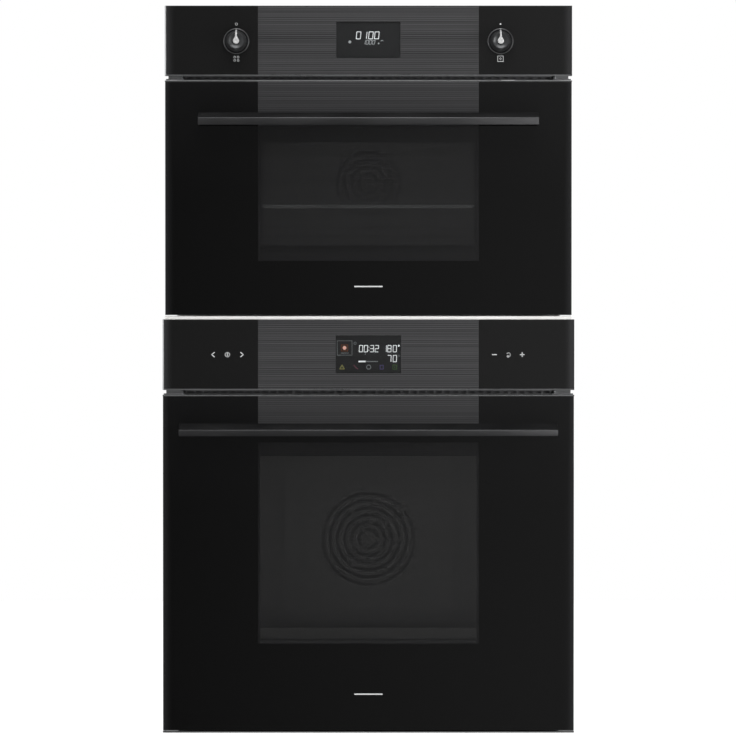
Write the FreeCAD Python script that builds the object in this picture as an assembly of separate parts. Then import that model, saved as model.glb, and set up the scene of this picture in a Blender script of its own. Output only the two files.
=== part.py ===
"""Column of two built-in ovens: a compact combination microwave oven above a full-size convection oven.

X runs to the right, Y to the back and Z up, in millimetres. Sub-parts are drawn with y = 0 on the outer
face of the front glass, and are moved by SHIFT_Y as they are written, so that the origin is at the middle
of the whole column's base.
"""

import FreeCAD, Part
import math
import os
from dataclasses import dataclass

V = FreeCAD.Vector
X_AXIS = V(1, 0, 0)
Y_AXIS = V(0, 1, 0)
Z_AXIS = V(0, 0, 1)

# Column
DEPTH = 569.0  # front glass face to the back of the casings
HANDLE_OUT = 42.0  # how far the door handles stand out of the glass
SHIFT_Y = (HANDLE_OUT - DEPTH) / 2
CASE_HALF = 278.0  # casings fit niches 560 wide
SHEET = 1.0  # casing and cavity steel

# Front
GLASS = 4.0  # front glass
FASCIA = 22.0  # how far the fronts stand out of the cabinet
TRIM = 1.8  # metal edge round the control panels
FLANGE_Y = 19.0  # front face of the side flanges that screw to the cabinet
FRAME_Y = 42.0  # plane of the cavity mouth

# Door
DOOR = 36.0  # thickness, outer glass to inner glass
PIVOT_Y = 9.0  # hinge axis behind the glass face
PIVOT_UP = 34.0  # hinge axis above the door's bottom edge
HINGE_X = 250.0  # middle of each hinge
ARM = 5.0  # hinge arm thickness
PIN_R = 2.5
RUNNING = 0.05  # radial clearance of shafts and pins
RECESS = 62.0  # height of the open recess that the door's foot swings into
RECESS_Y = 55.0  # and its depth

# Handle profile
LIP_T = 3.4
PLATE_T = 3.0
RISE = 8.0  # the grip's top slopes up to the glass by this much

# Knobs
KNOB_X = 191.3
KNOB_Z = 1003.0
SHAFT_R = 3.0
SKIRT_R = 19.0

# Insulation and fans
WOOL = 20.0
WOOL_GAP = 8.0  # air below the cavity floor, where the lower oven's base element lies
ROTOR_R = 27.0
FAN_R = 72.0
SLOT_RINGS = [14.0, 25.0, 36.0, 47.0, 58.0, 69.0]  # radii of the fan cover's slots

# Microwave parts
STIRRER_Y = 230.0
UPPER_LEVELS = (705.0, 761.0, 817.0)  # tops of the shelf runners
WAVEGUIDE_Z = (934.2, 974.0)

# Panes behind the outer door glass
PANE_T = 3.2
PANE_Y = {"upper": [12.0], "lower": [12.0, 22.0]}

# Connections to the outside
FIXING_R = 2.75  # cabinet screw holes
CABLE_R = 11.0
CABLE_X = 215.0

# Shelf between the ovens
SHELF_Y = 30.0  # its front edge clears the upper door's foot as it swings


@dataclass(frozen=True)
class Oven:
    """Driving dimensions of one oven; heights are above the column's base."""

    name: str
    width: float
    door_z: tuple
    panel_z: tuple
    case_z: tuple
    cavity_half: float
    cavity_z: tuple
    cavity_back: float
    handle_half: float
    handle_z: float
    lip: float
    fan_z: float

    @property
    def half(self):
        return self.width / 2

    @property
    def pivot_z(self):
        return self.door_z[0] + PIVOT_UP


UPPER = Oven("upper", 590.0, (606.4, 946.4), (953.0, 1054.6), (608.0, 1049.0), 215.0, (690.0, 912.0),
             392.0, 246.0, 892.0, 10.8, 800.0)
LOWER = Oven("lower", 597.0, (3.5, 490.5), (497.6, 600.0), (0.0, 590.0), 235.0, (98.0, 450.0),
             450.0, 274.0, 441.0, 9.4, 262.0)


# Shapes

def box(x, y, z):
    """Box between pairs of limits."""
    return Part.makeBox(x[1] - x[0], y[1] - y[0], z[1] - z[0], V(x[0], y[0], z[0]))


def cyl(r, length, base, axis=Y_AXIS):
    return Part.makeCylinder(r, length, base, axis)


def tube(r_out, r_in, length, base, axis=Y_AXIS):
    return cyl(r_out, length, base, axis).cut(cyl(r_in, length, base, axis))


def both_sides(shapes):
    """The shapes and their mirror images about the column's middle."""
    return shapes + [s.mirror(V(0, 0, 0), X_AXIS) for s in shapes]


def profile_x(points, x0, x1):
    """Prism along X over a (y, z) outline."""
    corners = [V(x0, y, z) for y, z in points]
    face = Part.Face(Part.makePolygon(corners + corners[:1]))
    return face.extrude(V(x1 - x0, 0, 0))


def bent_rod(points, r, bend):
    """Round rod along straight runs joined by bends of one radius."""
    edges = []
    start = points[0]
    for corner, after in zip(points[1:-1], points[2:]):
        inward = (start - corner).normalize()
        outward = (after - corner).normalize()
        half_angle = inward.getAngle(outward) / 2
        setback = bend / math.tan(half_angle)
        bisector = (inward + outward).normalize()
        centre = corner + bisector * (bend / math.sin(half_angle))
        first = corner + inward * setback
        last = corner + outward * setback
        middle = centre - bisector * bend
        edges.append(Part.LineSegment(start, first).toShape())
        edges.append(Part.Arc(first, middle, last).toShape())
        start = last
    edges.append(Part.LineSegment(start, points[-1]).toShape())
    path = Part.Wire(edges)
    direction = points[1] - points[0]
    section = Part.Wire(Part.Circle(points[0], direction, r).toShape())
    return path.makePipeShell([section], True, True)


def round_edges(shape, radius, wanted):
    """Rounds the edges whose middle point passes the test."""
    edges = [e for e in shape.Edges if wanted(e.BoundBox.Center, e)]
    return shape.makeFillet(radius, edges)


def along_y(edge):
    return edge.BoundBox.YLength > max(edge.BoundBox.XLength, edge.BoundBox.ZLength)


def save(name, shapes):
    """Writes one named node, moved to the column's origin."""
    node = Part.Compound(shapes) if len(shapes) > 1 else shapes[0]
    node.translate(V(0, SHIFT_Y, 0))
    node.exportStep(f"parts/{name}.step")


# Casing and cavity

def casing(oven):
    """Outer sheets with a notch at the front foot, and a louvred back."""
    z0, z1 = oven.case_z
    notch = oven.door_z[0] + PIVOT_UP + 12.0
    side_x = (CASE_HALF - SHEET, CASE_HALF)
    sides = both_sides([
        box(side_x, (FASCIA, DEPTH - SHEET), (notch, z1)),
        box(side_x, (RECESS_Y, DEPTH - SHEET), (z0, notch)),
    ])
    inner_x = (-CASE_HALF + SHEET, CASE_HALF - SHEET)
    top = box(inner_x, (FASCIA, DEPTH - SHEET), (z1 - SHEET, z1))
    base = box(inner_x, (RECESS_Y, DEPTH - SHEET), (z0, z0 + SHEET))
    back = box((-CASE_HALF, CASE_HALF), (DEPTH - SHEET, DEPTH), (z0, z1))
    for row in range(3):
        for column in range(12):
            x = -187.0 + column * 34.0
            z = z1 - 30.0 - row * 12.0
            back = back.cut(box((x - 12, x + 12), (DEPTH - 2, DEPTH + 1), (z - 2, z + 2)))
    for row in range(4):
        for column in range(10):
            x = -153.0 + column * 34.0
            top = top.cut(box((x - 12, x + 12), (330 + row * 22, 335 + row * 22), (z1 - 2, z1 + 1)))
    entry = cyl(CABLE_R, 3.0, V(CABLE_X, DEPTH - 2, z1 - 85.0))
    return sides + [top, base, back.cut(entry)]


def cavity(oven):
    """Enamelled muffle: floor, roof, walls and a back with the fan shaft's hole."""
    half = oven.cavity_half
    z0, z1 = oven.cavity_z
    y0 = FRAME_Y + 1.5
    y1 = oven.cavity_back
    back = box((-half - SHEET, half + SHEET), (y1, y1 + SHEET), (z0 - SHEET, z1 + SHEET))
    back = back.cut(cyl(7.0, 4.0, V(0, y1 - 1, oven.fan_z)))
    roof = box((-half - SHEET, half + SHEET), (y0, y1), (z1, z1 + SHEET))
    if oven is UPPER:
        roof = roof.cut(cyl(4.0, 4.0, V(0, STIRRER_Y, z1 - 1), Z_AXIS))
    floor = box((-half - SHEET, half + SHEET), (y0, y1), (z0 - SHEET, z0))
    walls = both_sides([box((half, half + SHEET), (y0, y1), (z0, z1))])
    runners = []
    if oven is UPPER:
        for z in UPPER_LEVELS:
            runners.append(box((half - 9.0, half), (60.0, 350.0), (z - 4.0, z)))
    return [floor, roof, back] + walls + both_sides(runners)


def front_frame(oven):
    """Flat ring round the cavity mouth, its side returns, and the flanges that screw to the cabinet."""
    half = oven.cavity_half
    z0, z1 = oven.cavity_z
    low = oven.door_z[0] + RECESS
    high = oven.door_z[1] - 3.0
    edge = CASE_HALF - SHEET
    y = (FRAME_Y, FRAME_Y + 1.5)
    ring = [
        box((-edge, edge), y, (low, z0)),
        box((-edge, edge), y, (z1, high)),
    ] + both_sides([box((half, edge), y, (z0, z1))])
    bottom = oven.door_z[0] + PIVOT_UP + 12.0
    flange = box((edge, oven.half - 1.0), (FLANGE_Y, FLANGE_Y + 2.0), (bottom, high))
    for z in fixing_heights(oven):
        flange = flange.cut(cyl(FIXING_R, 4.0, V(fixing_x(oven), FLANGE_Y - 1, z)))
    lip = box((edge - 1.2, edge), (FLANGE_Y + 2.0, FRAME_Y), (bottom, high))
    recess_back = box((-edge, edge), (RECESS_Y, RECESS_Y + 1.2), (oven.case_z[0] + 1.2, low))
    recess_roof = box((-edge, edge), (FRAME_Y + 1.5, RECESS_Y + 1.2), (low, low + 1.2))
    return ring + both_sides([flange, lip]) + [recess_back, recess_roof]


def fixing_x(oven):
    return (CASE_HALF + oven.half) / 2


def fixing_heights(oven):
    low, high = oven.door_z
    return low + 70.0, high - 30.0


def door_seal(oven):
    """Square-cornered gasket round the mouth; it stands just clear of the closed door."""
    half = oven.cavity_half
    z0, z1 = oven.cavity_z
    y = (DOOR + 0.4, FRAME_Y)
    wide = 7.0
    return [
        box((-half - wide, half + wide), y, (z0 - wide, z0 - 0.5)),
        box((-half - wide, half + wide), y, (z1 + 0.5, z1 + wide)),
    ] + both_sides([box((half + 0.5, half + wide), y, (z0 - 0.5, z1 + 0.5))])


def insulation(oven):
    """Mineral wool slabs round the cavity."""
    half = oven.cavity_half + SHEET + 0.5
    z0, z1 = oven.cavity_z
    z0 -= SHEET + 0.5
    z1 += SHEET + 0.5
    y0 = RECESS_Y + 3.0
    y1 = oven.cavity_back + SHEET + 0.5
    roof = box((-half, half), (y0, y1), (z1, z1 + WOOL))
    if oven is UPPER:
        roof = roof.cut(cyl(32.0, WOOL + 2, V(0, STIRRER_Y, z1 - 1), Z_AXIS))
    back = box((-half, half), (y1, y1 + WOOL), (z0, z1))
    back = back.cut(cyl(12.0, WOOL + 2, V(0, y1 - 1, oven.fan_z)))
    floor = box((-half, half), (y0, y1), (z0 - WOOL_GAP - WOOL, z0 - WOOL_GAP))
    sides = both_sides([box((half, half + WOOL), (y0, y1), (z0, z1))])
    return [roof, back, floor] + sides


# Inside the cavity

def fan_cover(oven):
    """Pressed cover over the fan, with slots on concentric circles."""
    y1 = oven.cavity_back - 42.0
    half = 128.0 if oven is LOWER else 96.0
    z = oven.fan_z
    plate = box((-half, half), (y1, y1 + 1.2), (z - half, z + half))
    plate = round_edges(plate, 18.0, lambda c, e: along_y(e))
    rings = SLOT_RINGS if oven is LOWER else SLOT_RINGS[:4]
    for count, radius in enumerate(rings):
        slot = tube(radius + 2.2, radius - 2.2, 4.0, V(0, y1 - 1, z))
        bridges = 3
        for k in range(bridges):
            angle = math.radians(k * 360 / bridges + count * 40)
            bar = box((0, radius + 6), (y1 - 2, y1 + 4), (z - 2.5, z + 2.5))
            bar.rotate(V(0, 0, z), Y_AXIS, math.degrees(angle))
            slot = slot.cut(bar)
        plate = plate.cut(slot)
    posts = [cyl(3.0, oven.cavity_back - y1 - 1.2, V(x, y1 + 1.2, z + dz))
             for x in (-half + 14, half - 14) for dz in (-half + 14, half - 14)]
    return [plate] + posts


def ring_element(oven):
    """Round heating element behind the fan cover, with its two terminals."""
    y = oven.cavity_back - 20.0
    radius = FAN_R + 20.0 if oven is LOWER else FAN_R + 12.0
    ring = Part.makeTorus(radius, 3.2, V(0, y, oven.fan_z), Y_AXIS)
    legs = [cyl(3.2, 20.0, V(x, y, oven.fan_z + math.sqrt(radius ** 2 - x ** 2))) for x in (-12.0, 12.0)]
    return [ring] + [leg.cut(ring) for leg in legs]


def fan_impeller(oven):
    """Sheet impeller on its shaft."""
    y = oven.cavity_back - 34.0
    z = oven.fan_z
    disc = tube(FAN_R - 4, SHAFT_R, 1.2, V(0, y + 22, z))
    hub = tube(9.0, SHAFT_R, 12.0, V(0, y + 11.0, z))
    wheel = disc.fuse(hub)
    for k in range(8):
        blade = box((16.0, FAN_R - 6), (y, y + 22.2), (z - 0.6, z + 0.6))
        blade.rotate(V(0, 0, z), Y_AXIS, k * 45.0)
        wheel = wheel.fuse(blade)
    shaft = cyl(SHAFT_R, 100.0, V(0, y + 6, z))
    return [wheel.fuse(shaft).removeSplitter()]


def fan_motor(oven):
    """Shaded-pole motor behind the cavity, with a bearing bore for the fan shaft."""
    y = oven.cavity_back + SHEET + WOOL + 6.0
    z = oven.fan_z
    plate = box((-40, 40), (y, y + 2), (z - 30, z + 30)).cut(cyl(SHAFT_R + RUNNING, 4, V(0, y - 1, z)))
    core = box((-30, 30), (y + 2, y + 24), (z - 26, z + 26)).cut(cyl(16.0, 30, V(0, y, z)))
    coil = cyl(15.5, 18.0, V(0, y + 4, z)).cut(cyl(SHAFT_R + RUNNING, 30, V(0, y, z)))
    return [plate, core, coil]


def grill_element(oven):
    """Snaked heating rod under the cavity roof, its ends in the back wall."""
    half = oven.cavity_half - 55.0
    z = oven.cavity_z[1] - 22.0
    front_y = 95.0
    rear_y = oven.cavity_back - 60.0
    legs = 6
    points = []
    for k in range(legs):
        x = -half + k * 2 * half / (legs - 1)
        rear = oven.cavity_back if k in (0, legs - 1) else rear_y
        ends = (rear, front_y) if k % 2 == 0 else (front_y, rear)
        points += [V(x, y, z) for y in ends]
    return [bent_rod(points, 3.2, 22.0)]


def base_element():
    """Hairpin heating rod between the cavity floor and its insulation."""
    z = LOWER.cavity_z[0] - SHEET - 4.0
    half = LOWER.cavity_half - 60.0
    points = [V(-30, 440, z), V(-30, 330, z), V(-half, 330, z), V(-half, 110, z),
              V(half, 110, z), V(half, 330, z), V(30, 330, z), V(30, 440, z)]
    return [bent_rod(points, 3.0, 24.0)]


def wire_shelf(z, y, half, pitch):
    """Rod frame with closely spaced wires lying on it."""
    r = 3.0
    wire_r = 1.5
    rails = [cyl(r, 2 * half, V(-half, yy, z), X_AXIS) for yy in (y[0] + r, y[1] - r)]
    sides = both_sides([cyl(r, y[1] - y[0] - 4 * r, V(half - r, y[0] + 2 * r, z))])
    count = int((2 * half - 30.0) / pitch)
    first = -count * pitch / 2
    top = z + r + wire_r
    wires = [cyl(wire_r, y[1] - y[0] - 2 * r, V(first + k * pitch, y[0] + r, top)) for k in range(count + 1)]
    brace = cyl(wire_r, 2 * half - 4 * r, V(-half + 2 * r, (y[0] + y[1]) / 2, z + r - wire_r), X_AXIS)
    return rails + sides + wires + [brace]


def side_racks():
    """Chromed ladder racks hooked on the cavity's side walls."""
    r = 2.5
    x = LOWER.cavity_half - 8.0
    z0 = LOWER.cavity_z[0] + 18.0
    z1 = LOWER.cavity_z[1] - 42.0
    y0, y1 = 62.0, LOWER.cavity_back - 50.0
    posts = [cyl(r, z1 - z0, V(x, y, z0), Z_AXIS) for y in (y0, (y0 + y1) / 2, y1)]
    rungs = []
    for level in range(5):
        for pair in (0.0, 13.0):
            z = z0 + 12.0 + level * 58.0 + pair
            rungs.append(cyl(r - 0.5, y1 - y0 + 10, V(x - 4.5, y0 - 5, z)))
    hooks = [cyl(r, 8.0 - r, V(x + r, y, z), X_AXIS) for y in (y0, y1) for z in (z0 + 6, z1 - 6)]
    return both_sides(posts + rungs + hooks)


def baking_tray():
    """Shallow enamelled tray: floor, walls and a flat rim."""
    half, depth = 212.0, (70.0, 390.0)
    z0 = LOWER.cavity_z[0] + 9.2
    z1 = z0 + 20.0
    t = 1.2
    parts = [box((-half, half), depth, (z0, z0 + t))]
    parts += both_sides([box((half - t, half), depth, (z0 + t, z1))])
    for y in (depth[0], depth[1] - t):
        parts.append(box((-half + t, half - t), (y, y + t), (z0 + t, z1)))
    rim = 7.0
    parts += both_sides([box((half - t, half + rim), depth, (z1, z1 + t))])
    for y in ((depth[0] - rim, depth[0] + t), (depth[1] - t, depth[1] + rim)):
        parts.append(box((-half + t, half - t), y, (z1, z1 + t)))
    return parts


def ceramic_base():
    """Flat ceramic floor plate of the microwave cavity, with rounded corners."""
    z = UPPER.cavity_z[0]
    plate = box((-206, 206), (60, 372), (z, z + 4))
    return [round_edges(plate, 25.0, lambda c, e: e.BoundBox.ZLength > 3.9 and e.BoundBox.XLength < 1)]


def oven_lamp(oven):
    """Domed lens in the right wall of the cavity."""
    x = oven.cavity_half
    z = oven.cavity_z[1] - 62.0
    y = oven.cavity_back - 75.0
    lens = cyl(24.0, 5.0, V(x - 5, y, z), X_AXIS)
    return [round_edges(lens, 3.0, lambda c, e: abs(c.x - (x - 5)) < 0.1)]


# Cooling blower, electrics

def blower_centre(oven):
    return 500.0, (oven.cavity_z[1] + WOOL + oven.case_z[1]) / 2


def blower_rotor(oven):
    """Cross-flow rotor: thin blades between discs on a through shaft."""
    y, z = blower_centre(oven)
    discs = [tube(ROTOR_R, SHAFT_R, 1.2, V(x, y, z), X_AXIS) for x in (-118.0, -0.6, 116.8)]
    blades = []
    for k in range(16):
        blade = box((-117.5, 117.5), (y - 0.5, y + 0.5), (z + ROTOR_R - 6.5, z + ROTOR_R - 0.6))
        blade.rotate(V(0, y, z), X_AXIS, k * 22.5)
        blades.append(blade)
    shaft = cyl(SHAFT_R, 285.0, V(-135, y, z), X_AXIS)
    return [shaft.fuse(discs + blades).removeSplitter()]


def blower_housing(oven):
    """Half shell and bearing plates round the rotor, its motor, and the outlet duct behind the front."""
    y, z = blower_centre(oven)
    shell = tube(33.0, 32.0, 240.0, V(-120, y, z), X_AXIS).cut(box((-125, 125), (y - 40, y), (z - 40, z + 40)))
    plates = []
    for x in (-128.0, 126.0):
        plate = box((x, x + 2.0), (y - 36, y + 36), (z - 36, z + 36))
        plates.append(plate.cut(cyl(SHAFT_R + RUNNING, 4.0, V(x - 1, y, z), X_AXIS)))
    motor = tube(24.0, SHAFT_R + RUNNING, 22.0, V(128.0, y, z), X_AXIS)
    duct_y = (FASCIA + 1.0, 170.0)
    gap = (oven.door_z[1], oven.panel_z[0])
    floor = box((-262, 262), duct_y, (gap[0] - 1.2, gap[0] - 0.4))
    roof = box((-262, 262), duct_y, (gap[1] + 0.2, gap[1] + 1.0))
    cheeks = both_sides([box((262, 264), duct_y, (gap[0] - 1.2, gap[1] + 1.0))])
    return [shell, motor, floor, roof] + plates + cheeks


def control_board(oven):
    """Board behind the control panel, with its relays and, on the upper oven, the knobs' encoders."""
    z0, z1 = oven.panel_z
    y = 24.0
    parts = [box((-235, 235), (y, y + 1.6), (z0 + 16, z1 - 12))]
    for k in range(6):
        x = -120.0 + k * 48.0
        parts.append(box((x - 10, x + 10), (y + 1.6, y + 17), (z0 + 24, z0 + 40)))
    if oven is UPPER:
        for x in (-KNOB_X, KNOB_X):
            body = box((x - 8, x + 8), (15.0, y), (KNOB_Z - 8, KNOB_Z + 8))
            bush = cyl(5.0, 8.0, V(x, 7.0, KNOB_Z))
            parts.append(body.fuse(bush).cut(cyl(SHAFT_R + RUNNING, 16.0, V(x, 6.5, KNOB_Z))))
    else:
        parts.append(box((-235, 235), (GLASS + 0.2, GLASS + 1.8), (z0 + 35, z0 + 68)).cut(
            box((-50, 50), (0, 10), (z0, z1))))
    return parts


def display(oven):
    """Display module behind the panel glass."""
    low, high = (977.0, 1033.5) if oven is UPPER else (520.0, 579.0)
    return [box((-49.0, 49.0), (GLASS + 0.1, GLASS + 7.0), (low, high))]


def terminal_block(oven):
    """Mains terminal block inside the casing, beside the cable entry."""
    z = oven.case_z[1] - 85.0
    base = box((CABLE_X - 70, CABLE_X - 20), (DEPTH - 26, DEPTH - 4), (z - 14, z + 14))
    screws = [cyl(2.5, 3.0, V(CABLE_X - 60 + 15 * k, DEPTH - 29, z)) for k in range(3)]
    return [base] + screws


# Microwave parts

def waveguide():
    """Rectangular duct from the magnetron to the stirrer's port."""
    x, y, z = (-45.0, 150.0), (STIRRER_Y - 42, STIRRER_Y + 42), WAVEGUIDE_Z
    duct = box(x, y, z).cut(box((x[0] + 1, x[1] - 1), (y[0] + 1, y[1] - 1), (z[0] + 1, z[1] - 1)))
    duct = duct.cut(cyl(28.0, 3.0, V(0, STIRRER_Y, z[0] - 1), Z_AXIS))
    duct = duct.cut(cyl(SHAFT_R + RUNNING, 3.0, V(0, STIRRER_Y, z[1] - 2), Z_AXIS))
    return [duct.cut(cyl(9.0, 3.0, V(110, STIRRER_Y, z[1] - 2), Z_AXIS))]


def magnetron():
    """Magnetron standing on the waveguide: yoke, cooling fins and antenna."""
    z = WAVEGUIDE_Z[1]
    y = (STIRRER_Y - 36, STIRRER_Y + 36)
    x = (68.0, 152.0)
    yoke = [box(x, y, (z, z + 2)), box(x, y, (z + 60, z + 62))]
    yoke += [box((a, a + 2), y, (z + 2, z + 60)) for a in (x[0], x[1] - 2)]
    core = cyl(18.0, 58.0, V(110, STIRRER_Y, z + 2), Z_AXIS)
    fins = [box((x[0] + 2, x[1] - 2), (y[0] + 4, y[1] - 4), (z + 10 + k * 8, z + 10.6 + k * 8)).cut(core)
            for k in range(6)]
    antenna = cyl(7.5, 22.0, V(110, STIRRER_Y, z - 22), Z_AXIS)
    return yoke + [core, antenna] + fins


def inverter():
    """High-voltage inverter: board, transformer and heat sink."""
    z = WAVEGUIDE_Z[0] + 4.0
    board = box((-235, -95), (190, 370), (z, z + 1.6))
    transformer = box((-170, -115), (210, 265), (z + 1.6, z + 48))
    sink = [box((-225, -180), (a, a + 2), (z + 1.6, z + 36)) for a in range(210, 350, 12)]
    capacitor = cyl(14.0, 30.0, V(-135, 320, z + 1.6), Z_AXIS)
    return [board, transformer, capacitor] + sink


def stirrer():
    """Field stirrer under the cavity roof, on the shaft of its motor."""
    z = UPPER.cavity_z[1] - 12.0
    hub = cyl(10.0, 5.0, V(0, STIRRER_Y, z), Z_AXIS)
    shape = hub.fuse(cyl(SHAFT_R, WAVEGUIDE_Z[1] + 12 - z, V(0, STIRRER_Y, z), Z_AXIS))
    for k in range(3):
        blade = box((6, 62), (STIRRER_Y - 13, STIRRER_Y + 13), (z, z + 1.2))
        blade.rotate(V(0, STIRRER_Y, z), Z_AXIS, k * 120.0)
        shape = shape.fuse(blade)
    return [shape.removeSplitter()]


def stirrer_motor():
    """Small geared motor on top of the waveguide."""
    z = WAVEGUIDE_Z[1]
    body = cyl(22.0, 16.0, V(0, STIRRER_Y, z), Z_AXIS)
    return [body.cut(cyl(SHAFT_R + RUNNING, 13.0, V(0, STIRRER_Y, z - 0.5), Z_AXIS))]


# Control panels

def panel_glass(oven):
    """Front glass of the control panel, inside its metal edge."""
    z0, z1 = oven.panel_z
    half = oven.half - TRIM
    glass = box((-half, half), (0, GLASS), (z0 + TRIM, z1))
    if oven is UPPER:
        for x in (-KNOB_X, KNOB_X):
            glass = glass.cut(cyl(5.5, 6.0, V(x, -1, KNOB_Z)))
    return [round_edges(glass, 0.5, lambda c, e: c.y < 0.1 and e.Length > 40)]


def panel_frame(oven):
    """Folded metal tray whose edge shows round the glass, and the end blocks of the air gap."""
    z0, z1 = oven.panel_z
    half = oven.half
    front = 0.4
    strips = [
        box((-half, half), (front, FASCIA), (z0, z0 + TRIM)),
        box((-half + TRIM, half - TRIM), (GLASS, FASCIA), (z1 - TRIM, z1)),
    ] + both_sides([box((half - TRIM, half), (front, FASCIA), (z0 + TRIM, z1))])
    gap_low = oven.door_z[1] + 1.2
    ends = both_sides([box((271.5, half - 5), (9.0, FASCIA), (gap_low, z0)),
                       box((269.5, 271.0), (8.0, FASCIA), (gap_low, z0))])
    return strips + ends


def knob_shaft(x):
    """Encoder shaft that the knob sits on."""
    return [cyl(SHAFT_R, 40.0, V(x, -22.0, KNOB_Z))]


def knob(x):
    """Skirted knob with a raised pointer that ends in a round boss."""
    base = -2.6
    bore = cyl(SHAFT_R + RUNNING, 20.0, V(x, -22.6, KNOB_Z))
    skirt = cyl(SKIRT_R, 2.4, V(x, base - 2.4, KNOB_Z))
    skirt = round_edges(skirt, 0.8, lambda c, e: c.y < base - 2)
    body = Part.makeCone(12.0, 15.2, 20.0, V(x, base - 22.4, KNOB_Z), Y_AXIS)
    body = round_edges(body, 1.6, lambda c, e: c.y < base - 22)
    front = base - 22.4
    bar = box((x - 1.4, x + 1.4), (front - 1.0, front + 3), (KNOB_Z, KNOB_Z + 13.0))
    side = box((x - 1.4, x + 1.4), (front - 1.0, base - 2.4), (KNOB_Z + 11.5, KNOB_Z + 16.8))
    boss = cyl(4.4, 3.0, V(x, front - 1.0, KNOB_Z))
    return [skirt.fuse([body, bar, side, boss]).cut(bore).removeSplitter()]


def bottom_trim():
    """Thin strip under the lower door; the column also rests on it."""
    half = LOWER.half
    return [box((-half, half), (1.0, RECESS_Y), (0, 1.9))]


# Doors

def door_glass(oven):
    """Outer door glass."""
    z0, z1 = oven.door_z
    half = oven.half - 0.4
    glass = box((-half, half), (0, GLASS), (z0, z1 - 1.6))
    return [round_edges(glass, 0.6, lambda c, e: c.y < 0.1)]


def door_panes(oven):
    """Middle panes and the inner pane that closes on the seal."""
    z0, z1 = oven.door_z
    panes = [box((-234, 234), (y, y + PANE_T), (z0 + 20.0, z1 - 30.0)) for y in PANE_Y[oven.name]]
    inner = box((-266, 266), (DOOR - 4.0, DOOR), (z0 + 44.0, z1 - 10.0))
    return panes + [inner]


def door_mesh():
    """Perforated screen and its frame behind the upper oven's window."""
    z0, z1 = UPPER.door_z
    return [box((-234, 234), (22.0, 22.6), (z0 + 20.0, z1 - 30.0))]


def door_frame(oven):
    """Side, top and bottom profiles behind the outer glass, and the liner that holds the inner pane."""
    z0, z1 = oven.door_z
    half = oven.half
    rim = (GLASS, 18.0)
    liner = (18.0, DOOR - 4.0)
    middle = [
        box((-half, half), (0.4, 18.0), (z1 - 1.6, z1)),
        box((-262, 262), rim, (z1 - 30.0, z1 - 1.6)),
        box((-236, 236), rim, (z0 + 0.5, z0 + 20.0)),
        box((-262, 262), liner, (z1 - 14.0, z1 - 10.0)),
        box((-236, 236), (26.0, DOOR - 4.0), (z0 + 44.0, z0 + 48.0)),
    ]
    sides = both_sides([
        box((262, half - 0.4), rim, (z0 + 0.5, z1 - 1.6)),
        box((262, 266), liner, (z0 + 44.0, z1 - 10.0)),
    ])
    return middle + sides


def door_handle(oven):
    """Full-width grip: a sloping top plate with a lip, open below for the fingers."""
    z = oven.handle_z
    front = -HANDLE_OUT
    under = z - PLATE_T + RISE * LIP_T / HANDLE_OUT
    outline = [(0, z + RISE), (front, z), (front, z - oven.lip), (front + LIP_T, z - oven.lip),
               (front + LIP_T, under), (0, z + RISE - PLATE_T)]
    bar = profile_x(outline, -oven.handle_half, oven.handle_half)
    bar = round_edges(bar, 0.7, lambda c, e: c.y < front + 0.1 and e.BoundBox.XLength > 100)
    return [bar]


def door_hinges(oven):
    """Hinge channels in the door's lower corners, each with the pin that turns on its arm."""
    z = oven.pivot_z
    y = (5.0, 31.0)
    top = z + 136.0
    outer, inner = (HINGE_X - 9.5, HINGE_X + 9.5), (HINGE_X - 7.5, HINGE_X + 7.5)
    walls = [box(x, y, (z - 28, top)) for x in ((outer[0], inner[0]), (inner[1], outer[1]))]
    front = box(inner, (y[0], y[0] + 1.5), (z + 8, top))
    back = box(inner, (y[1] - 1.5, y[1]), (z + 12, top))
    cap = box(inner, (y[0] + 1.5, y[1] - 1.5), (top - 2, top))
    pin = cyl(PIN_R, outer[1] - outer[0], V(outer[0], PIVOT_Y, z), X_AXIS)
    channel = [w.cut(pin) for w in walls] + [front, back, cap]
    return both_sides(channel + [pin])


def hinge_arm(oven):
    """Fixed arm from the recess to the hinge pin."""
    z = oven.pivot_z
    x = HINGE_X - ARM / 2
    eye = cyl(4.5, ARM, V(x, PIVOT_Y, z), X_AXIS)
    bar = box((x, x + ARM), (PIVOT_Y, RECESS_Y), (z - 4.5, z + 4.5))
    foot = box((x - 6, x + ARM + 6), (RECESS_Y - 2.0, RECESS_Y), (z - 14, z + 14))
    arm = eye.fuse([bar, foot]).cut(cyl(PIN_R + RUNNING, ARM + 2, V(x - 1, PIVOT_Y, z), X_AXIS))
    return both_sides([arm.removeSplitter()])


# Between the ovens

def stacking_shelf():
    """Hollow steel shelf that carries the upper oven on the lower one."""
    z0, z1 = LOWER.case_z[1], UPPER.case_z[0]
    y = (SHELF_Y, DEPTH - 4.0)
    half = CASE_HALF
    t = 1.5
    sheets = [box((-half, half), y, (z0, z0 + t)), box((-half, half), y, (z1 - t, z1))]
    rails = both_sides([box((half - t, half), y, (z0 + t, z1 - t))])
    cross = [box((-half + t, half - t), (a, a + t), (z0 + t, z1 - t)) for a in (y[0], 290.0, y[1] - t)]
    return sheets + rails + cross


def filler_strip():
    """Pale strip that closes the gap between the two fronts."""
    half = UPPER.half
    z = LOWER.panel_z[1]
    return [box((-half, half), (3.0, SHELF_Y), (z + 0.1, z + 4.7))]


def write_oven(oven):
    """Writes the sub-parts that both ovens have."""
    shared = [
        casing, cavity, front_frame, door_seal, insulation, fan_cover, fan_impeller, grill_element,
        blower_rotor, panel_glass, panel_frame, display, door_glass, door_panes, door_frame,
        door_handle, door_hinges,
    ]
    for make in shared:
        save(f"{oven.name}_{make.__name__}", make(oven))


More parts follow.
